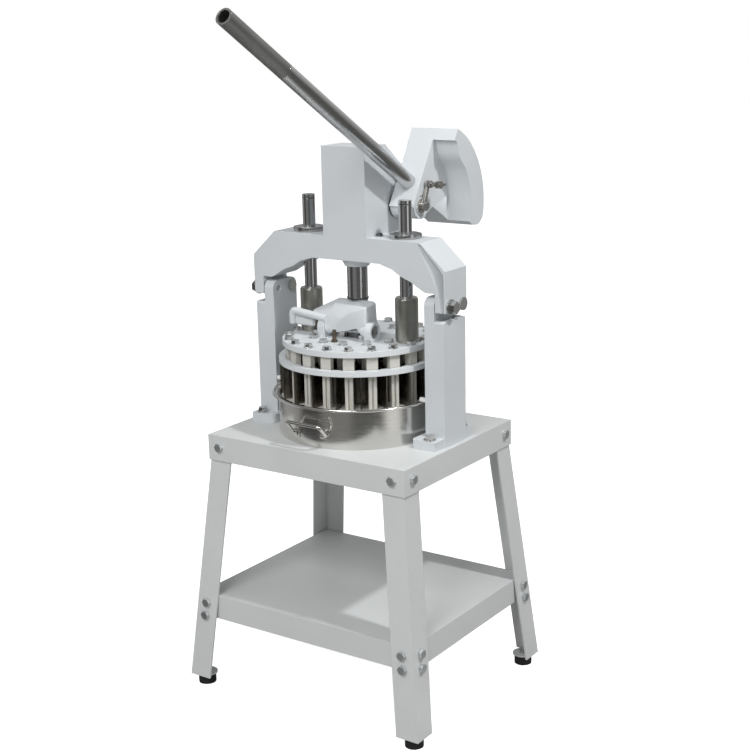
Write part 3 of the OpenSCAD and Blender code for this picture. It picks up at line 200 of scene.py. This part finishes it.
def metal(name, colour, rough=(0.12, 0.2), stretch=(1, 1, 1), streaks=400, streak_depth=0.03,
          edge=0.6 * MM, tilt=0.0, knurl=False):
    """Bare or plated metal: streaks along one way, a faint stain, edges painted brighter as highlight and
    bright wear.
    """
    material, tree, shader = new_material(name)
    where = place(tree)
    drawn = noise(tree, place(tree, stretch, tilt), streaks, 3.0, 0.6)
    slow = noise(tree, where, STAIN_SCALE, 4.0, 0.6)
    tint = remap(tree, drawn, 0.3, 0.7, 0, 1)
    base = blend_colours(tree, tint, shade(colour, 0.93), shade(colour, 1.05))
    base = blend_colours(tree, remap(tree, slow, 0.5, 0.7, 0, STAIN_SHARE), base, STAIN)
    # The edges are painted brighter: a painted highlight, together with bright wear; edge sets the band's
    # width.
    soft, mask = soft_edges(tree, edge)
    base = blend_colours(tree, times(tree, mask, 0.5), base, shade(colour, 1.25))
    tree.links.new(base, shader.inputs["Base Color"])
    shader.inputs["Metallic"].default_value = 1.0
    mixed = node(tree, "ShaderNodeMath", {"operation": "ADD"}, i0=times(tree, drawn, 0.6),
                 i1=times(tree, slow, 0.4)).outputs[0]
    tree.links.new(remap(tree, mixed, 0.35, 0.65, *rough), shader.inputs["Roughness"])
    bump = node(tree, "ShaderNodeBump", Strength=streak_depth, Distance=STREAK_RISE, Height=drawn,
                Normal=soft)
    if knurl:
        bump = node(tree, "ShaderNodeBump", Strength=0.5, Distance=KNURL_RISE,
                    Height=knurl_height(tree), Normal=bump.outputs[0])
    tree.links.new(bump.outputs[0], shader.inputs["Normal"])
    return material


# The lever tube's tilt from upright, a point on its axis, and its radius
TUBE_TILT = math.radians(59)
TUBE_AXIS = (sum(corner.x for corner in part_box("lever_tube")) / 2, 91.6 * MM, 529 * MM)
TUBE_R = 16.85 * MM
# The pitch of the knurl on the grip, and the turn of its wave for each metre across a ridge
KNURL_PITCH = 1.6 * MM
KNURL_WAVE = 4.4 / KNURL_PITCH


def knurl_height(tree):
    """Small diamonds round the tube, from two crossing sets of ridges."""
    along_tube = place(tree, (1, 1, 1), TUBE_TILT, TUBE_AXIS)
    spot = node(tree, "ShaderNodeSeparateXYZ", Vector=along_tube).outputs
    turn = node(tree, "ShaderNodeMath", {"operation": "ARCTAN2"}, i0=spot["Y"], i1=spot["X"]).outputs[0]
    round_way = times(tree, turn, TUBE_R)
    ridges = []
    for operation in ("ADD", "SUBTRACT"):
        slant = node(tree, "ShaderNodeMath", {"operation": operation}, i0=round_way, i1=spot["Z"])
        waves = times(tree, slant.outputs[0], KNURL_WAVE)
        wave = node(tree, "ShaderNodeMath", {"operation": "SINE"}, i0=waves)
        ridges.append(remap(tree, wave.outputs[0], -1, 1, 0, 1))
    return times(tree, *ridges)


# Stretches of the streaks: even, along Z, and round Z
EVEN = (1, 1, 1)
ALONG_Z = (1, 1, 0.04)
ROUND_Z = (0.05, 0.05, 1)
MATERIALS = {
    "sheet_paint": painted("sheet_paint", (0.66, 0.675, 0.675), 1400, 0.05),
    "cast_paint": painted("cast_paint", (0.65, 0.68, 0.70), 700, 0.10, 40, 0.10),
    "white_paint": painted("white_paint", (0.69, 0.72, 0.74), 800, 0.06, 50, 0.06),
    # A darker copy of the white paint for the lever casting: painted shade.
    "white_paint_shaded": painted("white_paint_shaded", (0.66, 0.69, 0.71), 800, 0.06, 50, 0.06),
    "chrome": metal("chrome", (0.60, 0.605, 0.62), (0.07, 0.13), ROUND_Z, 900, 0.02),
    "chrome_tube": metal("chrome_tube", (0.60, 0.60, 0.60), (0.18, 0.26), ALONG_Z, 500, 0.008,
                         tilt=TUBE_TILT),
    "knurled_steel": metal("knurled_steel", (0.34, 0.34, 0.33), (0.36, 0.48), knurl=True),
    "raw_steel": metal("raw_steel", (0.42, 0.415, 0.38), (0.28, 0.4), ROUND_Z, 1200, 0.08, edge=1.5 * MM),
    "bush_steel": metal("bush_steel", (0.46, 0.46, 0.46), (0.16, 0.28), EVEN, 300, 0.05, edge=1.2 * MM),
    "brown_steel": metal("brown_steel", (0.46, 0.445, 0.42), (0.22, 0.34), EVEN, 300, 0.06),
    "zinc_bolts": metal("zinc_bolts", (0.60, 0.605, 0.60), (0.16, 0.26), EVEN, 300, 0.04),
    "plated_bolts": metal("plated_bolts", (0.72, 0.745, 0.76), (0.4, 0.55), EVEN, 300, 0.05),
    "dark_steel": metal("dark_steel", (0.16, 0.165, 0.17), (0.3, 0.45)),
    "rusty_stud": metal("rusty_stud", (0.15, 0.12, 0.09), (0.5, 0.7)),
    "stainless": metal("stainless", (0.70, 0.69, 0.665), (0.14, 0.24), ROUND_Z, 500, 0.02),
    "blade_steel": metal("blade_steel", (0.17, 0.155, 0.135), (0.2, 0.34), ALONG_Z, 300, 0.04),
    "nylon": painted("nylon", (0.60, 0.59, 0.54), 500, 0.05, 90, 0.03, (0.4, 0.55),
                     worn=(0.66, 0.62, 0.54)),
    "rubber": painted("rubber", (0.018, 0.018, 0.02), 900, 0.2, rough=(0.55, 0.75),
                      worn=(0.06, 0.06, 0.06)),
    "white_plastic": painted("white_plastic", (0.8, 0.8, 0.8), 900, 0.02, rough=(0.2, 0.3)),
}

# The nodes that wear each material
WORN_BY = {
    "sheet_paint": ["table_top", "leg_front_left", "leg_front_right", "leg_back_left",
                    "leg_back_right", "shelf"],
    "cast_paint": ["column_left", "column_right", "yoke", "rear_cover"],
    "white_paint": ["press_plate", "knife_ring", "knife_hub", "latch", "lever_casting"],
    "chrome": ["ram", "guide_rods"],
    "chrome_tube": ["lever_tube"],
    "knurled_steel": ["lever_grip"],
    "raw_steel": ["guide_cylinders", "pinion", "rack"],
    "plated_bolts": ["skirt_bolts", "shelf_bolts"],
    "zinc_bolts": ["column_bolts", "lock_bolts", "pivot_pins", "plate_bolts",
                   "cover_screws", "pinion_shaft", "hanger_bolts", "shaft_keys", "foot_studs"],
    "bush_steel": ["latch_pin"],
    # The ram ring and the shaft bushes are real pieces made dark to stand for the shadowed gaps round the
    # ram and beside the lever's boss: painted shade.
    "dark_steel": ["ram_foot", "ram_ring", "rod_rings", "base_plate", "oil_plug", "shaft_cap",
                   "shaft_bushes"],
    "brown_steel": ["wing_screw", "shaft_end_bolt", "crank_arm"],
    "rusty_stud": ["latch_stop"],
    "stainless": ["pan", "pan_handles", "handle_brackets", "handle_rivets"],
    "blade_steel": ["knife_blades"],
    "nylon": ["outer_posts", "middle_posts", "inner_posts", "outer_segments", "middle_segments",
              "inner_segments"],
    "rubber": ["feet"],
    "white_plastic": ["pan_hold_buttons"],
}
for material_name, node_names in WORN_BY.items():
    for node_name in node_names:
        NODES[node_name].data.materials.clear()
        NODES[node_name].data.materials.append(MATERIALS[material_name])


# Pieces in place of plain solids

def new_piece(name, mesh, body, slot, replaced=(), look=None):
    """Puts a mesh into the scene as a piece on a body, with the slot's material or a closer one."""
    piece = bpy.data.objects.new(name, mesh)
    bpy.context.scene.collection.objects.link(piece)
    mesh.materials.clear()
    mesh.materials.append(MATERIALS[look or slot])
    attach(piece, body)
    if replaced:
        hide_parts(*replaced)
    return piece


def apply_modifiers(piece):
    """Turns a piece's modifiers into its mesh."""
    graph = bpy.context.evaluated_depsgraph_get()
    mesh = bpy.data.meshes.new_from_object(piece.evaluated_get(graph))
    piece.modifiers.clear()
    piece.data = mesh


def smooth_by_angle(mesh, degrees=35):
    """Smooth faces, with sharp edges kept where the surface turns by more than an angle."""
    work = bmesh.new()
    work.from_mesh(mesh)
    for face in work.faces:
        face.smooth = True
    for edge in work.edges:
        turned = len(edge.link_faces) != 2 or edge.calc_face_angle(0) > math.radians(degrees)
        edge.smooth = not turned
    work.to_mesh(mesh)
    work.free()


# Corners nearer than this are one, and faces that turn less than this are one flat face
WELD = 0.02 * MM
FLAT_ANGLE = math.radians(0.6)
# Edges that turn more than this are rounded
EDGE_ANGLE = math.radians(28)


def plain_copy(node_name):
    """A copy of a solid's mesh with its flat faces joined, so that its edges can be rounded."""
    mesh = NODES[node_name].data.copy()
    work = bmesh.new()
    work.from_mesh(mesh)
    bmesh.ops.remove_doubles(work, verts=work.verts, dist=WELD)
    bmesh.ops.dissolve_limit(work, angle_limit=FLAT_ANGLE, verts=work.verts, edges=work.edges)
    work.to_mesh(mesh)
    work.free()
    return mesh


def rounded(node_name, slot, width, segments=3, cutters=(), look=None):
    """A solid's own form with rounded edges, cut by shallow reliefs first."""
    mesh = plain_copy(node_name)
    body = BODY_OF[node_name]
    piece = new_piece(node_name + "_rounded", mesh, body, slot, (node_name,), look)
    for cutter in cutters:
        cut = piece.modifiers.new("relief", "BOOLEAN")
        cut.operation = "DIFFERENCE"
        cut.solver = "EXACT"
        cut.object = cutter
    bevel = piece.modifiers.new("round", "BEVEL")
    bevel.width = width
    bevel.segments = segments
    bevel.limit_method = "ANGLE"
    bevel.angle_limit = EDGE_ANGLE
    bevel.use_clamp_overlap = True
    apply_modifiers(piece)
    for cutter in cutters:
        bpy.data.objects.remove(cutter)
    smooth_by_angle(piece.data)
    even = piece.modifiers.new("even", "WEIGHTED_NORMAL")
    even.keep_sharp = True
    apply_modifiers(piece)


def sweep(name, points, radius, body, slot, replaced=(), sides=6):
    """A round wire along points, as a mesh."""
    curve = bpy.data.curves.new(name, "CURVE")
    curve.dimensions = "3D"
    curve.bevel_depth = radius
    curve.bevel_resolution = sides
    curve.use_fill_caps = True
    spline = curve.splines.new("POLY")
    spline.points.add(len(points) - 1)
    for spot, point in zip(spline.points, points):
        spot.co = (*point, 1)
    holder = bpy.data.objects.new(name + "_curve", curve)
    bpy.context.scene.collection.objects.link(holder)
    graph = bpy.context.evaluated_depsgraph_get()
    mesh = bpy.data.meshes.new_from_object(holder.evaluated_get(graph))
    bpy.data.objects.remove(holder)
    smooth_by_angle(mesh, 50)
    new_piece(name, mesh, body, slot, replaced)


ARC_STEPS = 6


def corner_arc(corner, before, after, radius):
    """Points of a round corner between two straight runs."""
    corner, before, after = Vector(corner), Vector(before), Vector(after)
    start = corner + (before - corner).normalized() * radius
    end = corner + (after - corner).normalized() * radius
    points = []
    for step in range(ARC_STEPS + 1):
        share = step / ARC_STEPS
        points.append(start.lerp(corner, share).lerp(corner.lerp(end, share), share))
    return points


def round_path(points, radius):
    """A path with its corners rounded."""
    path = [Vector(points[0])]
    for before, corner, after in zip(points, points[1:], points[2:]):
        path += corner_arc(corner, before, after, radius)
    path.append(Vector(points[-1]))
    return path


def mesh_of(name, work):
    """Ends a mesh under construction."""
    bmesh.ops.recalc_face_normals(work, faces=work.faces)
    mesh = bpy.data.meshes.new(name)
    work.to_mesh(mesh)
    work.free()
    return mesh


def cutter_from(name, rings, closed=False):
    """A hidden solid for cutting, skinned over rings of places with as many corners each."""
    work = bmesh.new()
    made = [[work.verts.new(spot) for spot in ring] for ring in rings]
    pairs = zip(made, made[1:] + made[:1]) if closed else zip(made, made[1:])
    for ring, following in pairs:
        for i in range(len(ring)):
            j = (i + 1) % len(ring)
            work.faces.new((ring[i], ring[j], following[j], following[i]))
    if not closed:
        work.faces.new(made[0])
        work.faces.new(made[-1])
    cutter = bpy.data.objects.new(name, mesh_of(name, work))
    bpy.context.scene.collection.objects.link(cutter)
    cutter.hide_render = True
    return cutter


YOKE_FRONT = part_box("yoke")[0].y

# The relief at the right end of the yoke's front face: at each height its soft inner edge, its lip and
# its depth at the lip, in millimetres
RELIEF = (
    (430, 183, 193, 18), (418, 189, 203.9, 30), (404, 197, 217.3, 42), (384, 209, 236.3, 58),
    (371, 217, 247, 60), (356, 223, 248.3, 56), (341, 229, 248.3, 44), (318, 235, 248.3, 24),
    (285, 242, 248.3, 10),
)
RELIEF_STEPS = 6
# The share of its width where the fall turns from a curve into a straight
RELIEF_BEND = 0.5
# How far the cutter's back stands out of the face, and how far its bottom is lifted in millimetres
CUTTER_PROUD = 6 * MM
CUTTER_LIFT = 0.1


def relief_fall(across):
    """The share of the full depth: a curve first, then a straight fall to the lip."""
    fall = across ** 2 if across < RELIEF_BEND else RELIEF_BEND * (2 * across - RELIEF_BEND)
    return fall / (RELIEF_BEND * (2 - RELIEF_BEND))


def relief_cutter():
    """The hollow that starts level with the front face and falls away steeply at the lip."""
    rings = []
    for height, inner, lip, depth in RELIEF:
        ring = [(inner * MM, YOKE_FRONT - CUTTER_PROUD, height * MM)]
        for step in range(RELIEF_STEPS + 1):
            across = step / RELIEF_STEPS
            ring.append(((inner + (lip - inner) * across) * MM,
                         YOKE_FRONT + (depth * relief_fall(across) - CUTTER_LIFT) * MM, height * MM))
        ring.append((lip * MM, YOKE_FRONT - CUTTER_PROUD, height * MM))
        rings.append(ring)
    return cutter_from("relief", rings)


# Where the shaft's axis meets the outer face of the lever's boss
SHAFT_AT = Vector((122, 70, 493)) * MM

# The inner line of the counterweight's rim, from its top end down, as millimetres behind and above the
# shaft, and the places inside the hollow that close it
RIM_INNER = (
    (38, 138), (52, 136.5), (57, 134.5), (61, 130), (64, 122), (66.5, 110), (71, 99), (81, 88),
    (94, 75), (104, 57), (109.5, 38), (112, 18), (112.5, 0), (111.5, -18), (109.5, -36), (108, -70),
)
RIM_OPEN = ((60, -70), (60, 60), (20, 100))
RIM_REACH = 60 * MM


def rim_cutter():
    """Opens the hollow of the counterweight to that line, from the web's face outwards."""
    outline = [(SHAFT_AT.y + back * MM, SHAFT_AT.z + up * MM) for back, up in RIM_INNER + RIM_OPEN]
    sides = (SHAFT_AT.x, SHAFT_AT.x + RIM_REACH)
    return cutter_from("hollow", [[(x, y, z) for y, z in outline] for x in sides])


# The groove turned into the lever boss's face, round the shaft's end: its middle's radius, its width
# and depth, how far the cutter stands out of the face, and the corners that make up its round
GROOVE_R = 20 * MM
GROOVE_W = 2.2 * MM
GROOVE_DEPTH = 2 * MM
GROOVE_PROUD = 4 * MM
GROOVE_SIDES = 72


def groove_cutter():
    """A square ring that cuts the groove."""
    inner, outer = GROOVE_R - GROOVE_W / 2, GROOVE_R + GROOVE_W / 2
    profile = (
        (inner, GROOVE_PROUD), (outer, GROOVE_PROUD), (outer, -GROOVE_DEPTH), (inner, -GROOVE_DEPTH),
    )
    rings = []
    for i in range(GROOVE_SIDES):
        turn = 2 * math.pi * i / GROOVE_SIDES
        rings.append([SHAFT_AT + Vector((depth, radius * math.cos(turn), radius * math.sin(turn)))
                      for radius, depth in profile])
    return cutter_from("groove", rings, closed=True)


def build_castings():
    """The cast and folded pieces, with soft edges."""
    rounded("yoke", "cast_paint", 1.8 * MM, cutters=[relief_cutter()])
    rounded("column_left", "cast_paint", 2.5 * MM)
    rounded("column_right", "cast_paint", 2.5 * MM)
    rounded("press_plate", "white_paint", 1.2 * MM, 2)
    rounded("table_top", "sheet_paint", 1.2 * MM, 2)
    rounded("shelf", "sheet_paint", 1.2 * MM, 2)
    hollows = [groove_cutter(), rim_cutter()]
    # The lever casting wears the darker copy of the white paint, as painted shade.
    rounded("lever_casting", "white_paint", 2.2 * MM, 3, cutters=hollows, look="white_paint_shaded")
    rounded("guide_cylinders", "raw_steel", 0.9 * MM, 2)
    rounded("guide_bushes", "dark_steel", 1.2 * MM, 2, look="bush_steel")


# The pan's front handle: its turn round the pan, half its width, how far out and how high its feet and
# its grip are, the length of a foot, the radius of its bends and of its wire
HANDLE_TURN = math.radians(-91.6)
HANDLE_HALF = 46 * MM
HANDLE_OUT = (182.6 * MM, 207.6 * MM)
HANDLE_RISE = (30 * MM, 56 * MM)
HANDLE_FOOT = 13 * MM
HANDLE_BEND = 9 * MM
WIRE_R = 4 * MM


def at_handle(turn, out, along, height):
    """A point beside the pan: outwards, along the handle and up."""
    angle = HANDLE_TURN + turn
    return Vector((
        out * math.cos(angle) - along * math.sin(angle),
        out * math.sin(angle) + along * math.cos(angle),
        height,
    ))


def build_handles():
    """The two wire handles of the pan, each one bent wire."""
    for name, turn, replaced in (("front", 0, ("pan_handles",)), ("back", math.pi, ())):
        near, far = HANDLE_OUT
        low, high = HANDLE_RISE
        stub = HANDLE_HALF - HANDLE_FOOT
        corners = [
            at_handle(turn, near, -stub, low), at_handle(turn, near, -HANDLE_HALF, low),
            at_handle(turn, far, -HANDLE_HALF, high), at_handle(turn, far, HANDLE_HALF, high),
            at_handle(turn, near, HANDLE_HALF, low), at_handle(turn, near, stub, low),
        ]
        path = round_path(corners, HANDLE_BEND)
        sweep("pan_handle_" + name, path, WIRE_R, BODY_OF["pan_handles"], "stainless", replaced)


# The latch's cowl, in millimetres: the top's flat part, its falling left part, and the front panel
COWL = {
    "back_left": (-46, -5, 291), "back_right": (44, -5, 291), "crease_left": (-33, -41, 286),
    "crease_mid": (8, -44, 285), "crease_right": (50, -46, 285),
    "rib_back": (53.5, -9, 288), "rib_front": (53.5, -47, 283), "right_low_back": (53.5, -4, 226),
    "right_low_front": (53.5, -49, 222),
    "scoop_left": (-42, -49, 265), "scoop": (-15, -50.5, 252), "scoop_right": (12, -50.5, 268),
    "front_right": (50, -50, 283), "leg_in": (43, -49.5, 222), "arch_right": (29, -50, 237),
    "arch_left": (-2, -50, 228), "toe": (-36, -51, 222), "heel": (-47, -52, 232),
    "bar_root": (-62, -53, 243), "fall_front": (-92, -49, 260), "fall_back": (-92, -38, 266),
    "under_back": (-52, -10, 262),
}
COWL_FACES = (
    ("back_left", "crease_left", "crease_mid", "crease_right", "back_right"),
    ("back_right", "crease_right", "rib_front", "rib_back"),
    ("rib_back", "rib_front", "right_low_front", "right_low_back"),
    ("crease_left", "scoop_left", "scoop", "crease_mid"),
    ("crease_mid", "scoop", "scoop_right"),
    ("crease_mid", "scoop_right", "front_right", "crease_right"),
    ("crease_right", "front_right", "rib_front"),
    ("rib_front", "front_right", "leg_in", "right_low_front"),
    ("front_right", "scoop_right", "arch_left", "arch_right", "leg_in"),
    ("scoop_right", "scoop", "toe", "arch_left"),
    ("scoop", "scoop_left", "bar_root", "heel", "toe"),
    ("back_left", "fall_back", "fall_front", "scoop_left", "crease_left"),
    ("fall_front", "bar_root", "scoop_left"),
    ("back_left", "under_back", "fall_back"),
)
# The thickness of its wall, the width of its rounded edges, and the least fold that is rounded
COWL_WALL = 7 * MM
COWL_EDGE = 2.2 * MM
COWL_FOLD = math.radians(14)

# The hand bar: its radius, its root in the cowl, its left end, the drop that ends in the tab, its bend
HAND_REACH = 157 * MM
HAND_BAR_R = 8.2 * MM
HAND_BAR_LEFT = -HAND_REACH + HAND_BAR_R
HAND_BAR = (
    (-50 * MM, -50 * MM, 251 * MM),
    (HAND_BAR_LEFT, -42.5 * MM, 260.5 * MM),
    (HAND_BAR_LEFT - 1 * MM, -40 * MM, 230 * MM),
)
HAND_BAR_BEND = 12 * MM

# The tab under the hand bar: its size, its middle and its edge
TAB_SIZE = (54 * MM, 6 * MM, 28 * MM)
TAB_AT = (-118 * MM, -38 * MM, 241 * MM)
TAB_EDGE = 2.5 * MM

# The latch's pin, and the two lugs round it: their radius, where they start and end to each side, and
# the corners that make up their round
LATCH_PIN = Vector((0, -38.5, 231.5)) * MM
LUG_R = 14.5 * MM
LUG_START = 41 * MM
LUG_END = 53.4 * MM
LUG_SIDES = 48


def add_lug(work, x_low, x_high):
    """Adds a closed round disc along X, round the latch's pin."""
    turn = Matrix.Rotation(math.pi / 2, 4, "Y")
    middle = Matrix.Translation(((x_low + x_high) / 2, LATCH_PIN.y, LATCH_PIN.z))
    bmesh.ops.create_cone(work, cap_ends=True, segments=LUG_SIDES, radius1=LUG_R, radius2=LUG_R,
                          depth=x_high - x_low, matrix=middle @ turn)


def build_latch():
    """The latch: a hollow cowl round the ram, a hand bar that curls down into a tab, and two lugs."""
    work = bmesh.new()
    spots = {name: work.verts.new(Vector(spot) * MM) for name, spot in COWL.items()}
    for names in COWL_FACES:
        work.faces.new([spots[name] for name in names])
    cowl = new_piece("latch_cowl", mesh_of("latch_cowl", work), "latch", "white_paint", ("latch",))
    wall = cowl.modifiers.new("wall", "SOLIDIFY")
    wall.thickness = COWL_WALL
    wall.offset = -1
    wall.use_even_offset = True
    edge = cowl.modifiers.new("edge", "BEVEL")
    edge.width = COWL_EDGE
    edge.segments = 3
    edge.limit_method = "ANGLE"
    edge.angle_limit = COWL_FOLD
    apply_modifiers(cowl)
    smooth_by_angle(cowl.data, 40)

    work = bmesh.new()
    for side in (-1, 1):
        low, high = sorted((side * LUG_START, side * LUG_END))
        add_lug(work, low, high)
    lugs = new_piece("latch_lugs", mesh_of("latch_lugs", work), "latch", "white_paint")
    smooth_by_angle(lugs.data)

    path = round_path(HAND_BAR, HAND_BAR_BEND)
    sweep("latch_bar", path, HAND_BAR_R, "latch", "white_paint", sides=8)

    work = bmesh.new()
    bmesh.ops.create_cube(work, size=1)
    bmesh.ops.scale(work, verts=work.verts, vec=TAB_SIZE)
    bmesh.ops.translate(work, verts=work.verts, vec=TAB_AT)
    bmesh.ops.bevel(work, geom=work.edges[:], offset=TAB_EDGE, segments=3, affect="EDGES")
    tab = new_piece("latch_tab", mesh_of("latch_tab", work), "latch", "white_paint")
    smooth_by_angle(tab.data)


build_castings()
build_handles()
build_latch()


# Floor, world, lights and camera

# What shiny metal sees round the machine: turns from +X in degrees, and the grey there
STUDIO = ((-180, 0.36), (-150, 0.3), (-138, 0.07), (-116, 0.07), (-104, 0.22), (-72, 0.22), (-62, 0.12),
          (-28, 0.12), (-17, 0.8), (-3, 0.8), (8, 0.11), (46, 0.11), (54, 0.3), (64, 0.3), (74, 0.1),
          (84, 0.4), (110, 0.4), (122, 0.12), (160, 0.15), (180, 0.36))
# Its blue, as a share of its red and green
STUDIO_BLUE = 0.97

# What it sees above: shares of the way from straight down to straight up, and the grey there
ROOF_BANDS = ((0.52, 0.16), (0.6, 0.5), (0.7, 0.42), (0.82, 0.12))
ROOF_LOW = (0.45, (0.12, 0.115, 0.11, 1))
ROOF_TOP = (1.0, (0.2, 0.2, 0.21, 1))

WHITE = (1, 1, 1, 1)
# The floor's radius, its own glow to the camera, and its colour as the machine is lit by it
FLOOR_R = 14
FLOOR_GLOW = 0.85
FLOOR_DULL = (0.5, 0.495, 0.48, 1)
# The room's strength in mirror images, and the colour and strength of its light on dull surfaces
MIRRORED_STRENGTH = 1.1
AMBIENT_COLOUR = (0.98, 0.985, 0.99, 1)
AMBIENT_STRENGTH = 0.42


def studio(tree, direction):
    """The dim room with its strip lights, by the direction along the floor."""
    parts = node(tree, "ShaderNodeSeparateXYZ", Vector=direction).outputs
    turn = node(tree, "ShaderNodeMath", {"operation": "ARCTAN2"}, i0=parts["Y"], i1=parts["X"])
    share = remap(tree, turn.outputs[0], -math.pi, math.pi, 0, 1)
    ramp = node(tree, "ShaderNodeValToRGB", Fac=share)
    stops = ramp.color_ramp.elements
    for stop, (degrees, level) in zip((stops[0], stops[-1]), (STUDIO[0], STUDIO[-1])):
        stop.position = degrees / 360 + 0.5
        stop.color = (level, level, level, 1)
    for degrees, level in STUDIO[1:-1]:
        stop = stops.new(degrees / 360 + 0.5)
        stop.color = (level, level, STUDIO_BLUE * level, 1)
    return ramp.outputs["Color"]


def build_floor():
    """White paper: evenly bright to the camera; in the machine's mirror images it glows with a painted
    reflection of a dim room with strip lights.
    """
    mesh = bpy.data.meshes.new("floor")
    work = bmesh.new()
    bmesh.ops.create_circle(work, cap_ends=True, segments=96, radius=FLOOR_R)
    bmesh.ops.translate(work, verts=work.verts, vec=(0, 0, FLOOR))
    work.to_mesh(mesh)
    work.free()
    floor = bpy.data.objects.new("floor", mesh)
    bpy.context.scene.collection.objects.link(floor)
    material, tree, shader = new_material("floor_paper")
    spot = node(tree, "ShaderNodeNewGeometry").outputs["Position"]
    clouds = noise(tree, place(tree), 1.5, 2.0)
    paper = blend_colours(tree, clouds, (0.78, 0.78, 0.78), (0.82, 0.82, 0.82))
    tree.links.new(paper, shader.inputs["Base Color"])
    shader.inputs["Roughness"].default_value = 0.9
    shader.inputs["Specular IOR Level"].default_value = 0.1
    ray = node(tree, "ShaderNodeLightPath").outputs
    glow = node(tree, "ShaderNodeEmission", Color=WHITE, Strength=FLOOR_GLOW)
    lit = node(tree, "ShaderNodeAddShader", i0=shader.outputs[0], i1=glow.outputs[0])
    dull = node(tree, "ShaderNodeBsdfDiffuse", Color=FLOOR_DULL)
    # Painted reflection: to glossy rays the floor glows with the room's strip lights.
    mirrored = node(tree, "ShaderNodeEmission", Color=studio(tree, spot), Strength=1.0)
    quiet = node(tree, "ShaderNodeMixShader", i0=ray["Is Glossy Ray"], i1=dull.outputs[0],
                 i2=mirrored.outputs[0])
    seen = node(tree, "ShaderNodeMixShader", i0=ray["Is Camera Ray"], i1=quiet.outputs[0],
                i2=lit.outputs[0])
    output = next(made for made in tree.nodes if made.type == "OUTPUT_MATERIAL")
    tree.links.new(seen.outputs[0], output.inputs["Surface"])
    mesh.materials.append(material)


def build_world():
    """White to the camera; reflections see a dim studio with a bright band and a dark ceiling."""
    world = bpy.data.worlds.new("studio")
    bpy.context.scene.world = world
    world.use_nodes = True
    tree = world.node_tree
    tree.nodes.clear()
    direction = node(tree, "ShaderNodeTexCoord").outputs["Generated"]
    height = node(tree, "ShaderNodeSeparateXYZ", Vector=direction).outputs["Z"]
    ramp = node(tree, "ShaderNodeValToRGB", Fac=remap(tree, height, -1, 1, 0, 1))
    stops = ramp.color_ramp.elements
    stops[0].position, stops[0].color = ROOF_LOW
    stops[1].position, stops[1].color = ROOF_TOP
    for position, level in ROOF_BANDS:
        stop = stops.new(position)
        stop.color = (level, level, level, 1)
    raised = remap(tree, height, 0.05, 0.2, 0, 1)
    seen = blend_colours(tree, raised, studio(tree, direction), ramp.outputs["Color"])
    mirrored = node(tree, "ShaderNodeBackground", Color=seen, Strength=MIRRORED_STRENGTH)
    ambient = node(tree, "ShaderNodeBackground", Color=AMBIENT_COLOUR, Strength=AMBIENT_STRENGTH)
    plain = node(tree, "ShaderNodeBackground", Color=WHITE, Strength=1.0)
    ray = node(tree, "ShaderNodeLightPath").outputs
    around = node(tree, "ShaderNodeMixShader", i0=ray["Is Glossy Ray"], i1=ambient.outputs[0],
                  i2=mirrored.outputs[0])
    mixed = node(tree, "ShaderNodeMixShader", i0=ray["Is Camera Ray"], i1=around.outputs[0],
                 i2=plain.outputs[0])
    output = tree.nodes.new("ShaderNodeOutputWorld")
    tree.links.new(mixed.outputs[0], output.inputs["Surface"])


def area_light(name, position, target, size, power):
    """A rectangular light that points at a place."""
    data = bpy.data.lights.new(name, "AREA")
    data.shape = "RECTANGLE"
    data.size, data.size_y = size
    data.energy = power
    light = bpy.data.objects.new(name, data)
    light.location = position
    light.rotation_euler = (Vector(target) - Vector(position)).to_track_quat("-Z", "Y").to_euler()
    bpy.context.scene.collection.objects.link(light)


# Each light's place, what it points at, its size in metres and its power in watts
LIGHTS = {
    "key": ((2.3, -0.1, 3.05), (0, 0, 0.2), (0.2, 0.2), 68),
    "front": ((0.4, -2.8, 2.5), (0, 0, 0), (1.6, 1.2), 65),
}


def build_lights():
    """A hard key light from the right and a broad one from the front."""
    for name, (position, target, size, power) in LIGHTS.items():
        area_light(name, position, target, size, power)


# The photograph's camera: place, turn to the left, dip and roll, focal length and sensor width
CAMERA_PLACE = (1.7801, -2.5080, 0.8904)
CAMERA_YAW = math.radians(34.739)
CAMERA_DIP = math.radians(14.09)
CAMERA_ROLL = math.radians(-1.216)
CAMERA_LENS = 68.67
CAMERA_SENSOR = 36


def build_camera():
    """The camera that the photograph was solved for."""
    ahead = Vector((
        -math.sin(CAMERA_YAW) * math.cos(CAMERA_DIP),
        math.cos(CAMERA_YAW) * math.cos(CAMERA_DIP),
        -math.sin(CAMERA_DIP),
    ))
    level = Vector((math.cos(CAMERA_YAW), math.sin(CAMERA_YAW), 0))
    above = level.cross(ahead)
    right = level * math.cos(CAMERA_ROLL) + above * math.sin(CAMERA_ROLL)
    up = above * math.cos(CAMERA_ROLL) - level * math.sin(CAMERA_ROLL)
    data = bpy.data.cameras.new("camera")
    data.lens = CAMERA_LENS
    data.sensor_width = CAMERA_SENSOR
    data.clip_start, data.clip_end = 0.05, 60
    camera = bpy.data.objects.new("camera", data)
    turn = Matrix((right, up, -ahead)).transposed()
    camera.matrix_world = Matrix.Translation(CAMERA_PLACE) @ turn.to_4x4()
    bpy.context.scene.collection.objects.link(camera)
    bpy.context.scene.camera = camera


bpy.context.scene.view_settings.view_transform = "Standard"
build_floor()
build_world()
build_lights()
build_camera()
